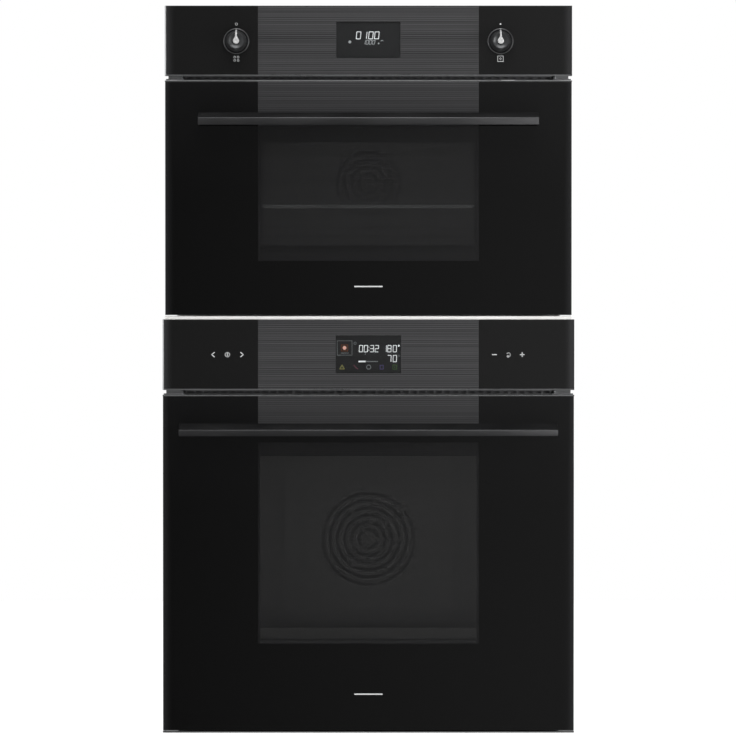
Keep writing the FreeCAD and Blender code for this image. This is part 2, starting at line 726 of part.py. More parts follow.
def main():
    os.makedirs("parts", exist_ok=True)
    for oven in (UPPER, LOWER):
        write_oven(oven)
    pairs = {
        "hinge_arms": hinge_arm, "terminal_blocks": terminal_block, "fan_motors": fan_motor,
        "blower_housings": blower_housing, "ring_elements": ring_element,
        "control_boards": control_board, "oven_lamps": oven_lamp,
    }
    for name, make in pairs.items():
        save(name, make(UPPER) + make(LOWER))
    save("stacking_shelf", stacking_shelf())
    save("filler_strip", filler_strip())
    save("lower_bottom_trim", bottom_trim())
    save("lower_side_racks", side_racks())
    save("lower_baking_tray", baking_tray())
    save("lower_base_element", base_element())
    save("lower_wire_shelf", wire_shelf(LOWER.cavity_z[0] + 3.1, (66.0, 392.0), 218.0, 18.0))
    save("upper_wire_shelf", wire_shelf(UPPER_LEVELS[1] + 3.0, (62.0, 345.0), 209.0, 18.0))
    save("upper_ceramic_base", ceramic_base())
    save("upper_door_mesh", door_mesh())
    save("upper_magnetron", magnetron())
    save("upper_waveguide", waveguide())
    save("upper_inverter", inverter())
    save("upper_stirrer", stirrer())
    save("upper_stirrer_motor", stirrer_motor())
    for side, x in (("left", -KNOB_X), ("right", KNOB_X)):
        save(f"upper_knob_{side}", knob(x))
        save(f"upper_knob_shaft_{side}", knob_shaft(x))


main()
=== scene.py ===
"""Look of a column of two built-in ovens with black glass fronts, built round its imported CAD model."""
import logging
import math
from dataclasses import dataclass
from enum import Enum

import bmesh
import bpy
from mathutils import Matrix, Vector


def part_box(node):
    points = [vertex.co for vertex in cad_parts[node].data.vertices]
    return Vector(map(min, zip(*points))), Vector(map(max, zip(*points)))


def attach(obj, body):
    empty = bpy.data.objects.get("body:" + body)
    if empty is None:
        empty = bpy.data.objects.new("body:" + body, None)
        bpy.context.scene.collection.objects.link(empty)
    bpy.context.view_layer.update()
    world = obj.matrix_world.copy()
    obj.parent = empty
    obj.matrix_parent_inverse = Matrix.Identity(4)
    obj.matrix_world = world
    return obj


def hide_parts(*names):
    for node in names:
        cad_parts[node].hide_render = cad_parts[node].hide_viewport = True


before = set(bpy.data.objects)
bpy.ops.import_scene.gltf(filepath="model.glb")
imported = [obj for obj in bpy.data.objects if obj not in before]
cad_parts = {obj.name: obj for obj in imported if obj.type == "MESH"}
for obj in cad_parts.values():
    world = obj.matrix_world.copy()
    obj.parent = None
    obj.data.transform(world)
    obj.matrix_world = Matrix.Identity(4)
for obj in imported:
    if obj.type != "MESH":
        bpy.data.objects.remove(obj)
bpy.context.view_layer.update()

MM = 0.001
FRONT_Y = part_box("lower_door_glass")[0].y  # outer face of all the front glass
GLASS_T = 4.0 * MM
LIT_Y = FRONT_Y + GLASS_T + 0.03 * MM  # lit signs, just behind the panel glass
PRINT_Y = FRONT_Y - 0.06 * MM  # printed signs, just proud of the glass
PRINT_T = 0.07 * MM
BAND_HALF = 160.0 * MM  # half width of the printed band and of the windows

log = logging.getLogger("oven")


class Level(Enum):
    """The two ovens of the column."""

    UPPER = "upper"
    LOWER = "lower"


# Colours and nodes

def linear(code: str) -> tuple[float, float, float, float]:
    """Turns an sRGB hex colour into linear red, green, blue and an alpha of 1.

    Args:
        code: six hex digits, such as "1c1c1e".

    Returns:
        Four numbers from 0 to 1.
    """
    values = []
    for start in (0, 2, 4):
        share = int(code[start:start + 2], 16) / 255
        values.append(share / 12.92 if share <= 0.04045 else ((share + 0.055) / 1.055) ** 2.4)
    return (values[0], values[1], values[2], 1.0)


def add(tree: bpy.types.NodeTree, kind: str, inputs: dict | None = None, **settings) -> bpy.types.Node:
    """Adds a node with its settings, and fills or links its inputs.

    Args:
        tree: the tree to add it to.
        kind: the node's type, without its "ShaderNode" prefix.
        inputs: input name or index to a value or to the output socket that feeds it.
        settings: the node's own attributes.

    Returns:
        The new node.
    """
    node = tree.nodes.new("ShaderNode" + kind)
    for key, value in settings.items():
        setattr(node, key, value)
    for key, value in (inputs or {}).items():
        if isinstance(value, bpy.types.NodeSocket):
            tree.links.new(value, node.inputs[key])
        else:
            node.inputs[key].default_value = value
    return node


def scaled(tree: bpy.types.NodeTree, place: bpy.types.NodeSocket, size_mm: float,
           stretch: tuple[float, float, float] = (1.0, 1.0, 1.0)) -> bpy.types.NodeSocket:
    """Object coordinates scaled so that one pattern cell measures size_mm, longer along stretched axes."""
    scale = [1.0 / (size_mm * MM * s) for s in stretch]
    return add(tree, "Mapping", {"Vector": place, "Scale": scale}).outputs[0]


def within(tree: bpy.types.NodeTree, value: bpy.types.NodeSocket, low: float,
           high: float) -> bpy.types.NodeSocket:
    """Tests whether a coordinate is between two limits.

    Args:
        tree: the node tree.
        value: the coordinate, in metres.
        low: lower limit.
        high: upper limit.

    Returns:
        1 between the limits, and 0 elsewhere.
    """
    middle = add(tree, "Math", {0: value, 1: (low + high) / 2}, operation="SUBTRACT").outputs[0]
    away = add(tree, "Math", {0: middle}, operation="ABSOLUTE").outputs[0]
    return add(tree, "Math", {0: away, 1: (high - low) / 2}, operation="LESS_THAN").outputs[0]


def product(tree: bpy.types.NodeTree, a: bpy.types.NodeSocket, b: bpy.types.NodeSocket | float,
            operation: str = "MULTIPLY") -> bpy.types.NodeSocket:
    """Combines two values with one arithmetic operation."""
    return add(tree, "Math", {0: a, 1: b}, operation=operation).outputs[0]


def blended(tree: bpy.types.NodeTree, share: bpy.types.NodeSocket, low: str,
            high: str) -> bpy.types.NodeSocket:
    """Mixes two colours.

    Args:
        tree: the node tree.
        share: 0 for the first colour to 1 for the second.
        low: the first colour, as six hex digits.
        high: the second colour.

    Returns:
        The mixed colour.
    """
    mix = add(tree, "Mix", {"Factor": share}, data_type="RGBA")
    mix.inputs[6].default_value = linear(low)
    mix.inputs[7].default_value = linear(high)
    return mix.outputs[2]


def spread(tree: bpy.types.NodeTree, value: bpy.types.NodeSocket, low: float, high: float,
           start: float = 0.3, stop: float = 0.7) -> bpy.types.NodeSocket:
    """Maps a value onto a range, such as a noise onto a roughness.

    Args:
        tree: the node tree.
        value: what to map; a noise lies mostly between the default start and stop.
        low: result at the start.
        high: result at the stop.
        start: value that gives low.
        stop: value that gives high.

    Returns:
        The mapped value.
    """
    settings = {"Value": value, "From Min": start, "From Max": stop, "To Min": low, "To Max": high}
    return add(tree, "MapRange", settings).outputs[0]


# Finishes

@dataclass(frozen=True)
class Finish:
    """A named surface with its colour, as sRGB hex digits, and its plain optical values."""

    name: str
    colour: str
    roughness: float = 0.5
    metallic: float = 0.0
    ior: float = 1.5

    def material(self) -> bpy.types.Material:
        """Makes the material the first time that it is asked for.

        Returns:
            The Blender material with this finish's name.
        """
        known = bpy.data.materials.get(self.name)
        if known:
            return known
        made = bpy.data.materials.new(self.name)
        made.use_nodes = True
        tree = made.node_tree
        tree.nodes.clear()
        place = add(tree, "TexCoord").outputs["Object"]
        add(tree, "OutputMaterial", {"Surface": self.surface(tree, place)})
        return made

    def body(self, tree: bpy.types.NodeTree, inputs: dict | None = None) -> bpy.types.NodeSocket:
        """Adds a Principled shader with this finish's plain values.

        Args:
            tree: the material's node tree.
            inputs: inputs that go over the plain values.

        Returns:
            The shader's output.
        """
        plain = {
            "Base Color": linear(self.colour),
            "Roughness": self.roughness,
            "Metallic": self.metallic,
            "IOR": self.ior,
        }
        return add(tree, "BsdfPrincipled", {**plain, **(inputs or {})}).outputs[0]

    def surface(self, tree: bpy.types.NodeTree, place: bpy.types.NodeSocket) -> bpy.types.NodeSocket:
        """The finished shader; subclasses draw their patterns here."""
        raise NotImplementedError


@dataclass(frozen=True)
class Grained(Finish):
    """A surface with one grain: brushed, moulded, cast, sprayed or woven, by its size and stretch."""

    second: str = ""
    grain_mm: float = 1.0
    stretch: tuple[float, float, float] = (1.0, 1.0, 1.0)
    rough_spread: float = 0.08
    bump: float = 0.15
    relief_mm: float = 0.05
    edge: str = "ffffff"  # tint of the grazing reflection

    def surface(self, tree: bpy.types.NodeTree, place: bpy.types.NodeSocket) -> bpy.types.NodeSocket:
        """Noise of the grain's size drives colour, roughness and relief.

        Args:
            tree: the material's node tree.
            place: object coordinates, in metres.

        Returns:
            The finished shader.
        """
        fine = add(tree, "TexNoise", {"Vector": scaled(tree, place, self.grain_mm, self.stretch),
                                      "Scale": 1.0, "Detail": 3.0, "Roughness": 0.6}).outputs[0]
        broad = add(tree, "TexNoise", {"Vector": scaled(tree, place, 90.0), "Scale": 1.0,
                                       "Detail": 2.0}).outputs[0]
        both = product(tree, product(tree, fine, 0.65), product(tree, broad, 0.35), "ADD")
        shade = spread(tree, both, 0.0, 1.0)
        rough = spread(tree, both, self.roughness - self.rough_spread, self.roughness + self.rough_spread)
        relief = add(tree, "Bump", {"Height": fine, "Strength": self.bump,
                                    "Distance": self.relief_mm * MM}).outputs[0]
        return self.body(tree, {
            "Base Color": blended(tree, shade, self.colour, self.second or self.colour),
            "Roughness": rough,
            "Normal": relief,
            "Specular Tint": linear(self.edge),
        })


@dataclass(frozen=True)
class Spangled(Finish):
    """Hot-dip galvanised sheet: flat crystal patches of slightly different grey."""

    second: str = ""
    spangle_mm: float = 9.0

    def surface(self, tree: bpy.types.NodeTree, place: bpy.types.NodeSocket) -> bpy.types.NodeSocket:
        """Random cells give each crystal its own tone and gloss.

        Args:
            tree: the material's node tree.
            place: object coordinates, in metres.

        Returns:
            The finished shader.
        """
        wobble = add(tree, "TexNoise", {"Vector": scaled(tree, place, 6.0), "Scale": 1.0}).outputs[1]
        cells = scaled(tree, place, self.spangle_mm)
        shifted = add(tree, "VectorMath", {0: cells, 1: wobble}, operation="ADD").outputs[0]
        tone = add(tree, "TexVoronoi", {"Vector": shifted, "Scale": 1.0}).outputs["Color"]
        grey = add(tree, "SeparateColor", {0: tone}).outputs[0]
        fine = add(tree, "TexNoise", {"Vector": scaled(tree, place, 0.8), "Scale": 1.0}).outputs[0]
        return self.body(tree, {
            "Base Color": blended(tree, grey, self.colour, self.second),
            "Roughness": spread(tree, grey, self.roughness - 0.07, self.roughness + 0.1, 0.0, 1.0),
            "Normal": add(tree, "Bump", {"Height": fine, "Strength": 0.08, "Distance": 0.03 * MM}).outputs[0],
        })


@dataclass(frozen=True)
class Enamel(Finish):
    """Fired vitreous enamel: glassy, faintly wavy, with scattered pale specks."""

    speck: str = "8a8c90"
    speck_mm: float = 1.3

    def surface(self, tree: bpy.types.NodeTree, place: bpy.types.NodeSocket) -> bpy.types.NodeSocket:
        """Specks are the small bright tail of a fine noise.

        Args:
            tree: the material's node tree.
            place: object coordinates, in metres.

        Returns:
            The finished shader.
        """
        fine = add(tree, "TexNoise", {"Vector": scaled(tree, place, self.speck_mm), "Scale": 1.0,
                                      "Detail": 1.0}).outputs[0]
        specks = spread(tree, fine, 0.0, 1.0, 0.64, 0.70)
        wave = add(tree, "TexNoise", {"Vector": scaled(tree, place, 14.0), "Scale": 1.0}).outputs[0]
        return self.body(tree, {
            "Base Color": blended(tree, specks, self.colour, self.speck),
            "Roughness": spread(tree, wave, self.roughness - 0.05, self.roughness + 0.08),
            "Normal": add(tree, "Bump", {"Height": wave, "Strength": 0.2, "Distance": 0.4 * MM}).outputs[0],
            "Coat Weight": 0.4,
        })


@dataclass(frozen=True)
class Area:
    """An area of a pane between x = -half and half, and between two heights, in metres."""

    half: float
    low: float
    high: float


@dataclass(frozen=True)
class PrintedGlass(Finish):
    """Toughened front glass with ceramic print on its back: black sides, a band of fine grey lines
    in the middle, and see-through areas. The smooth outer face mirrors the room faintly. The lines
    run across the front, about 3 mm apart."""

    half: float = 0.2985  # half the pane's width
    line: str = "414142"
    gap: str = "232324"  # between the lines
    pitch_mm: float = 3.1
    band_low: float = 0.0  # the lines' lower end
    clear: Area = Area(0.0, 0.0, 0.0)
    smoke: str = "c8c8c8"  # tint of the clear area
    veil: float = 0.0  # mean share of print over the clear area
    veil_colour: str = "1b1b1c"
    painted_sheen_colour: str = "1d1d1e"  # paler colour painted into the black print near the side edges and below a door's top edge: a painted sheen, not a colour of the print
    top: float = 2.0  # height of a door's top edge, below which the black print carries a painted sheen
    rim: float = 14.0 * MM  # how far in from a side edge the painted sheen reaches
    painted_top_sheen: float = 0.16  # how far down from the top edge the painted sheen reaches

    def surface(self, tree: bpy.types.NodeTree, place: bpy.types.NodeSocket) -> bpy.types.NodeSocket:
        """Prints by place, and lets light through the clear area.

        Args:
            tree: the material's node tree.
            place: object coordinates, in metres.

        Returns:
            The finished shader.
        """
        axes = add(tree, "SeparateXYZ", {0: place})
        x, z = axes.outputs[0], axes.outputs[2]
        wave = product(tree, z, 2 * math.pi / (self.pitch_mm * MM))
        ripple = add(tree, "Math", {0: wave}, operation="SINE").outputs[0]
        uneven = add(tree, "TexNoise", {"Vector": scaled(tree, place, 2.2, (400.0, 1.0, 1.0)),
                                        "Scale": 1.0, "Detail": 1.0}).outputs[0]
        waves = spread(tree, ripple, 0.0, 0.6, -1.0, 1.0)
        lines = product(tree, waves, spread(tree, uneven, 0.0, 0.5), "ADD")
        stripes = blended(tree, lines, self.gap, self.line)
        above = within(tree, z, self.band_low, 2.0)
        in_band = product(tree, within(tree, x, -BAND_HALF, BAND_HALF), above)
        # Painted sheen: the black print turns paler towards the side edges and, on doors, below the top edge.
        far = add(tree, "Math", {0: x}, operation="ABSOLUTE").outputs[0]
        near = spread(tree, far, 0.0, 1.0, self.half - self.rim, self.half - 1 * MM)
        rim = product(tree, near, 2.0, "POWER")
        painted_top_sheen = spread(tree, z, 0.0, 0.2, self.top - self.painted_top_sheen, self.top)
        black = blended(tree, product(tree, rim, painted_top_sheen, "MAXIMUM"), self.colour, self.painted_sheen_colour)
        colour = add(tree, "Mix", {"Factor": in_band}, data_type="RGBA")
        tree.links.new(black, colour.inputs[6])
        tree.links.new(stripes, colour.inputs[7])
        haze = add(tree, "TexNoise", {"Vector": scaled(tree, place, 60.0), "Scale": 1.0}).outputs[0]
        rough = spread(tree, haze, self.roughness - 0.012, self.roughness + 0.02)
        printed = self.body(tree, {"Base Color": colour.outputs[2], "Roughness": rough})
        if self.clear.half == 0.0:
            return printed
        across = within(tree, x, -self.clear.half, self.clear.half)
        opening = product(tree, across, within(tree, z, self.clear.low, self.clear.high))
        through = add(tree, "BsdfTransparent", {"Color": linear(self.smoke)}).outputs[0]
        mirror = add(tree, "BsdfGlossy", {"Color": (1, 1, 1, 1), "Roughness": self.roughness}).outputs[0]
        facing = add(tree, "Fresnel", {"IOR": self.ior}).outputs[0]
        window = add(tree, "MixShader", {0: facing, 1: through, 2: mirror}).outputs[0]
        if self.veil:
            hatch = self.body(tree, {"Base Color": linear(self.veil_colour), "Roughness": rough})
            share = spread(tree, lines, self.veil * 0.1, self.veil * 1.9, 0.0, 1.0)
            window = add(tree, "MixShader", {0: share, 1: window, 2: hatch}).outputs[0]
        return add(tree, "MixShader", {0: opening, 1: printed, 2: window}).outputs[0]


@dataclass(frozen=True)
class ClearPane(Finish):
    """Thin coated pane: nearly clear, with a weak even mirror."""

    tint: str = "efefee"

    def surface(self, tree: bpy.types.NodeTree, place: bpy.types.NodeSocket) -> bpy.types.NodeSocket:
        """Lets most light straight through; faint smears change its gloss.

        Args:
            tree: the material's node tree.
            place: object coordinates, in metres.

        Returns:
            The finished shader.
        """
        smear = add(tree, "TexNoise", {"Vector": scaled(tree, place, 45.0), "Scale": 1.0}).outputs[0]
        through = add(tree, "BsdfTransparent", {"Color": linear(self.tint)}).outputs[0]
        mirror = add(tree, "BsdfGlossy", {"Roughness": spread(tree, smear, self.roughness,
                                                              self.roughness + 0.05)}).outputs[0]
        facing = add(tree, "Fresnel", {"IOR": self.ior}).outputs[0]
        return add(tree, "MixShader", {0: facing, 1: through, 2: mirror}).outputs[0]


@dataclass(frozen=True)
class Perforated(Finish):
    """Painted steel screen with rows of round holes, each row shifted by half a pitch. Real
    holes are finer; these are drawn coarser, so that they show."""

    pitch_mm: float = 4.4
    hole_share: float = 0.38  # a hole's radius, as a share of the pitch
    field: Area = Area(0.1525, 0.707, 0.857)
    web: str = "1a1a1b"  # the thinner paint between the holes

    def surface(self, tree: bpy.types.NodeTree, place: bpy.types.NodeSocket) -> bpy.types.NodeSocket:
        """Two shifted square lattices of holes make the staggered rows.

        Args:
            tree: the material's node tree.
            place: object coordinates, in metres.

        Returns:
            The finished shader.
        """
        axes = add(tree, "SeparateXYZ", {0: place})
        x, z = axes.outputs[0], axes.outputs[2]
        holes = None
        for shift in (0.0, 0.5):
            parts = []
            for value, step in ((x, self.pitch_mm), (z, self.pitch_mm * math.sqrt(3))):
                count = {0: value, 1: 1.0 / (step * MM), 2: shift}
                turns = add(tree, "Math", count, operation="MULTIPLY_ADD").outputs[0]
                share = add(tree, "Math", {0: turns}, operation="FRACT").outputs[0]
                off = product(tree, product(tree, share, 0.5, "SUBTRACT"), step / self.pitch_mm)
                parts.append(product(tree, off, off))
            near = product(tree, product(tree, parts[0], parts[1], "ADD"), self.hole_share ** 2, "LESS_THAN")
            holes = near if holes is None else product(tree, holes, near, "MAXIMUM")
        zone = product(tree, within(tree, x, -self.field.half, self.field.half),
                       within(tree, z, self.field.low, self.field.high))
        open_share = product(tree, holes, zone)
        paint = self.body(tree, {"Base Color": blended(tree, zone, self.colour, self.web)})
        gap = add(tree, "BsdfTransparent").outputs[0]
        return add(tree, "MixShader", {0: open_share, 1: paint, 2: gap}).outputs[0]


@dataclass(frozen=True)
class Glow(Finish):
    """Lit segment, or printed key sign whose glow is painted light: a soft even light with slightly uneven
    strength.
    """

    strength: float = 1.0

    def surface(self, tree: bpy.types.NodeTree, place: bpy.types.NodeSocket) -> bpy.types.NodeSocket:
        """Weak emission over a matt print; on printed signs, which are no lamps, this emission is painted
        light.

        Args:
            tree: the material's node tree.
            place: object coordinates, in metres.

        Returns:
            The finished shader.
        """
        uneven = add(tree, "TexNoise", {"Vector": scaled(tree, place, 3.0), "Scale": 1.0}).outputs[0]
        return self.body(tree, {
            "Emission Color": linear(self.colour),
            "Emission Strength": spread(tree, uneven, self.strength * 0.85, self.strength * 1.1),
        })


# Front glass: black and mirror-smooth at the sides, with a painted sheen near the edges, a grey brushed look
# in the middle.
UPPER_DOOR_GLASS = PrintedGlass("upper_door_ceramic_print", "060606", 0.03, half=0.2946, top=0.945,
                                line="3b3b3c", gap="242425", band_low=0.8815, veil=0.2,
                                veil_colour="2d2d2e", clear=Area(BAND_HALF, 0.685, 0.8815))
LOWER_DOOR_GLASS = PrintedGlass("lower_door_ceramic_print", "060606", 0.03, half=0.2981, top=0.489,
                                line="3b3b3c", gap="242425", band_low=0.4315, veil=0.2,
                                veil_colour="2d2d2e", clear=Area(BAND_HALF, 0.129, 0.4215))
UPPER_PANEL_GLASS = PrintedGlass("upper_panel_ceramic_print", "131313", 0.03, half=0.2932,
                                 painted_sheen_colour="2a2a2b", clear=Area(46.4 * MM, 0.979, 1.0315),
                                 smoke="f0f0f0")
LOWER_PANEL_GLASS = PrintedGlass("lower_panel_ceramic_print", "131313", 0.03, half=0.2967,
                                 painted_sheen_colour="2e2e2f", clear=Area(47.3 * MM, 0.522, 0.577),
                                 smoke="f0f0f0")
# Inner panes mirror less than bare glass; the lamp's pressed lens is a little blurred and warm.
CLEAR_PANE = ClearPane("coated_inner_pane", "ffffff", 0.03, ior=1.3)
LAMP_LENS = ClearPane("pressed_lamp_lens", "ffffff", 0.2, tint="f4f1e6")
# The microwave screen: matt black paint on punched steel, which dims what is behind it.
SCREEN = Perforated("perforated_screen_paint", "141415", 0.5)
# Metals: brushed and rolled ones have fine streaks along one axis; blued steel is mottled.
BLUED_STEEL = Grained("blued_steel", "1e1f22", 0.45, 0.8, second="2b2c2f", grain_mm=2.0, bump=0.1)
BLACK_ANODISED = Grained("black_anodised_brushed", "4a4a4b", 0.42, 1.0, second="565657",
                         grain_mm=0.5, stretch=(60.0, 1.0, 1.0), bump=0.06, edge="4c4c4c")
SATIN_EDGE = Grained("satin_anodised_edge", "a9aaac", 0.3, 1.0, second="c2c3c4", grain_mm=0.5,
                     stretch=(60.0, 1.0, 1.0), bump=0.06)
STAINLESS = Grained("stamped_stainless", "8f9091", 0.32, 1.0, second="a2a3a3", grain_mm=0.4,
                    stretch=(1.0, 1.0, 40.0), bump=0.08)
ALUMINIUM = Grained("mill_finish_aluminium", "b0b2b4", 0.38, 1.0, second="c6c8c9", grain_mm=0.6,
                    stretch=(20.0, 1.0, 1.0), bump=0.08)
# Hot-dip zinc shows as patches of slightly different grey.
GALVANISED = Spangled("galvanised_sheet", "8d9296", 0.42, 0.9, second="b2b7ba")
# Fired enamel is glassy and specked.
CAVITY_ENAMEL = Enamel("cavity_vitreous_enamel", "2a2b2d", 0.34)
FRAME_ENAMEL = Enamel("front_frame_vitreous_enamel", "101113", 0.2, speck="4a4c50")
# Fibres: tangled yellow wool, and a matt black braid.
WOOL = Grained("mineral_wool", "b59a6a", 0.95, second="d8c79d", grain_mm=2.5,
               stretch=(6.0, 1.0, 1.0), bump=0.9, relief_mm=1.5)
GASKET = Grained("braided_glass_gasket", "1a1a1b", 0.8, second="3a3a3c", grain_mm=1.2, bump=0.8,
                 relief_mm=0.4)
# Rods: bright chrome, and the duller wire of a shelf that has been hot.
CHROME_WIRE = Grained("chromed_rod", "c8cacc", 0.09, 1.0, second="dadcdd", grain_mm=6.0,
                      rough_spread=0.04, bump=0.03)
SHELF_WIRE = Grained("dulled_shelf_wire", "77797b", 0.4, 0.8, second="8a8c8e", grain_mm=5.0, bump=0.03)
# Door and fan cover trim, from pale satin to dark, with the fan cover lips paler as a painted highlight, and
# the brown film on a heated sheath.
DOOR_TRIM = Grained("satin_door_trim", "7c7d7e", 0.5, 1.0, second="868788", grain_mm=0.6,
                    stretch=(60.0, 1.0, 1.0), rough_spread=0.03, bump=0.0)
COVER_LIP = Grained("pale_enamel_lip_painted_highlight", "88898b", 0.5, second="949597", grain_mm=3.0, bump=0.1)
SPACER = Grained("pane_spacer_profile", "4a4a4c", 0.5, 0.3, second="565658", grain_mm=2.0, bump=0.05)
HEATER = Grained("oxidised_heater_sheath", "3a3431", 0.55, 0.7, second="574a42", grain_mm=3.0, bump=0.3)
# Powder coats and paints with a fine orange-peel, and the knobs' satin parts.
WHITE_PAINT = Grained("white_powder_coat", "ecebe8", 0.45, second="f4f3f1", grain_mm=0.9, bump=0.25)
SATIN_BLACK = Grained("satin_black_paint", "18181a", 0.42, second="202022", grain_mm=0.8, bump=0.15)
KNOB_BLACK = Grained("knob_satin_coating", "3a3b3c", 0.3, 0.6, second="464748", grain_mm=0.7,
                     rough_spread=0.05, bump=0.08)
KNOB_RING = Grained("knob_rim_turned_metal", "b4b4b5", 0.34, 1.0, second="c0c0c1", grain_mm=0.6, bump=0.05)
POINTER = Grained("pointer_satin_metal", "d8d8d8", 0.42, 0.7, second="e2e2e2", grain_mm=0.5, bump=0.06)
# Electrical parts: green resist, nylon, glass ceramic, stacked laminations and brass.
CIRCUIT = Grained("circuit_board_resist", "0f3a24", 0.4, second="175034", grain_mm=1.5,
                  stretch=(8.0, 1.0, 1.0), bump=0.2)
TERMINAL = Grained("terminal_nylon", "cfc8b8", 0.5, second="ddd7ca", grain_mm=1.0, bump=0.15)
CERAMIC = Grained("white_glass_ceramic", "d9d6cc", 0.18, second="e3e0d8", grain_mm=4.0, bump=0.04)
LAMINATIONS = Grained("laminated_motor_core", "4a4b4e", 0.5, 0.6, second="68696c", grain_mm=0.7,
                      stretch=(30.0, 1.0, 30.0), bump=0.5, relief_mm=0.2)
BRASS = Grained("turned_brass", "a5854a", 0.28, 1.0, second="b8975a", grain_mm=0.4, bump=0.06)
# Front details: dim smoked displays, a dark grille, a bead made bright as a painted highlight, and zinc
# screws.
DISPLAY_FACE = Grained("display_smoked_face", "444648", 0.45, second="4a4c4e", grain_mm=8.0, bump=0.02)
GRILLE_BLACK = Grained("vent_grille_moulding", "58585a", 0.5, second="626263", grain_mm=0.8, bump=0.1)
PAINTED_HIGHLIGHT_BEAD = Grained("satin_edge_bead_painted_highlight", "98999a", 0.38, 1.0, second="a2a3a4", grain_mm=0.6,
                      stretch=(60.0, 1.0, 1.0), rough_spread=0.03, bump=0.0)
SCREW_ZINC = Grained("zinc_plated_screw", "a8abad", 0.3, 1.0, second="bdbfc0", grain_mm=0.6, bump=0.1)
TRAY_ENAMEL = Enamel("tray_vitreous_enamel", "121315", 0.18, speck="55585c")
# Prints, whose weak glow is painted light, and lit segments, which read as light as they do under the glass.
PAINTED_GLOW_PRINT = Glow("key_print_painted_glow", "b4b5b5", 0.6, strength=0.2)
PAINTED_GLOW_PRINT_BOLD = Glow("key_print_bold_painted_glow", "c4c5c5", 0.6, strength=0.34)
SEGMENT = Glow("display_segment", "dfe3e4", 0.5, strength=1.1)
SEGMENT_SOFT = Glow("display_segment_soft", "b4b9ba", 0.5, strength=0.75)
SEGMENT_DIM = Glow("display_segment_dim", "8f9596", 0.5, strength=0.4)
SIGN_WARM = Glow("display_sign_warm", "e9b5a2", 0.5, strength=0.8)
SIGN_ORANGE = Glow("display_sign_orange", "8a5230", 0.5, strength=0.35)
SIGN_YELLOW = Glow("display_sign_yellow", "8c8a55", 0.5, strength=0.45)
SIGN_PINK = Glow("display_sign_pink", "7a4a58", 0.5, strength=0.35)
SIGN_VIOLET = Glow("display_sign_violet", "57507c", 0.5, strength=0.4)
SIGN_GREEN = Glow("display_sign_green", "50703f", 0.5, strength=0.4)

NODE_FINISHES: dict[str, Finish] = {
    "casing": GALVANISED, "cavity": CAVITY_ENAMEL, "front_frame": FRAME_ENAMEL, "door_seal": GASKET,
    "insulation": WOOL, "fan_cover": CAVITY_ENAMEL, "fan_impeller": BLUED_STEEL, "grill_element": HEATER,
    "blower_rotor": ALUMINIUM, "panel_frame": SATIN_EDGE, "display": DISPLAY_FACE, "door_panes": CLEAR_PANE,
    "door_frame": SATIN_BLACK, "door_handle": BLACK_ANODISED, "door_hinges": STAINLESS,
    "hinge_arms": STAINLESS, "terminal_blocks": TERMINAL, "fan_motors": LAMINATIONS,
    "blower_housings": GALVANISED, "ring_elements": HEATER, "control_boards": CIRCUIT,
    "oven_lamps": LAMP_LENS, "stacking_shelf": WHITE_PAINT, "filler_strip": WHITE_PAINT,
    "lower_bottom_trim": SATIN_EDGE, "lower_side_racks": CHROME_WIRE, "lower_baking_tray": TRAY_ENAMEL,
    "lower_base_element": HEATER, "wire_shelf": SHELF_WIRE, "upper_ceramic_base": CERAMIC,
    "upper_door_mesh": SCREEN, "upper_magnetron": ALUMINIUM, "upper_waveguide": GALVANISED,
    "upper_inverter": CIRCUIT, "upper_stirrer": ALUMINIUM, "upper_stirrer_motor": LAMINATIONS,
    "upper_knob_left": KNOB_BLACK, "upper_knob_right": KNOB_BLACK,
    "upper_knob_shaft_left": BRASS, "upper_knob_shaft_right": BRASS,
    "upper_door_glass": UPPER_DOOR_GLASS, "lower_door_glass": LOWER_DOOR_GLASS,
    "upper_panel_glass": UPPER_PANEL_GLASS, "lower_panel_glass": LOWER_PANEL_GLASS,
}


def dress_frame() -> None:
    """Gives every CAD node its finish; a name without upper or lower serves both ovens."""
    for name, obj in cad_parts.items():
        plain = name.split("_", 1)[1] if name.startswith(("upper_", "lower_")) else name
        finish = NODE_FINISHES.get(name) or NODE_FINISHES[plain]
        obj.data.materials.clear()
        obj.data.materials.append(finish.material())
        log.info("dressed %s in %s", name, finish.name)


# Mesh tools

def piece(name: str, bm: bmesh.types.BMesh, finish: Finish, body: str,
          smooth: float | None = 40.0) -> bpy.types.Object:
    """Makes a scene object of a mesh, with its finish, and lets it ride on a body.

    Args:
        name: the object's name.
        bm: the mesh in metres, in the frame's place; it is freed here.
        finish: its surface.
        body: the CAD body that it moves with.
        smooth: angle in degrees under which faces are shaded smooth, or None for flat ones.

    Returns:
        The object.
    """
    bmesh.ops.remove_doubles(bm, verts=bm.verts, dist=0.5e-6)
    mesh = bpy.data.meshes.new(name)
    bm.to_mesh(mesh)
    bm.free()
    if smooth is not None:
        mesh.shade_smooth()
        mesh.set_sharp_from_angle(angle=math.radians(smooth))
    obj = bpy.data.objects.new(name, mesh)
    bpy.context.scene.collection.objects.link(obj)
    mesh.materials.append(finish.material())
    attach(obj, body)
    log.info("made %s: %d faces, on %s", name, len(mesh.polygons), body)
    return obj


def slab(bm: bmesh.types.BMesh, low: Vector, high: Vector, bevel: float = 0.0,
         turn: Matrix | None = None) -> None:
    """Adds a box between two corners.

    Args:
        bm: the mesh to add to.
        low: its lowest corner.
        high: its highest corner.
        bevel: rounding of its edges.
        turn: a rotation about its middle.
    """
    size, middle = high - low, (high + low) / 2
    matrix = Matrix.Translation(middle) @ (turn or Matrix.Identity(4)) @ Matrix.Diagonal((*size, 1.0))
    made = bmesh.ops.create_cube(bm, size=1.0, matrix=matrix)
    if bevel:
        edges = list({e for v in made["verts"] for e in v.link_edges})
        bmesh.ops.bevel(bm, geom=edges, offset=bevel, segments=2, profile=0.5, affect="EDGES",
                        material=-1)


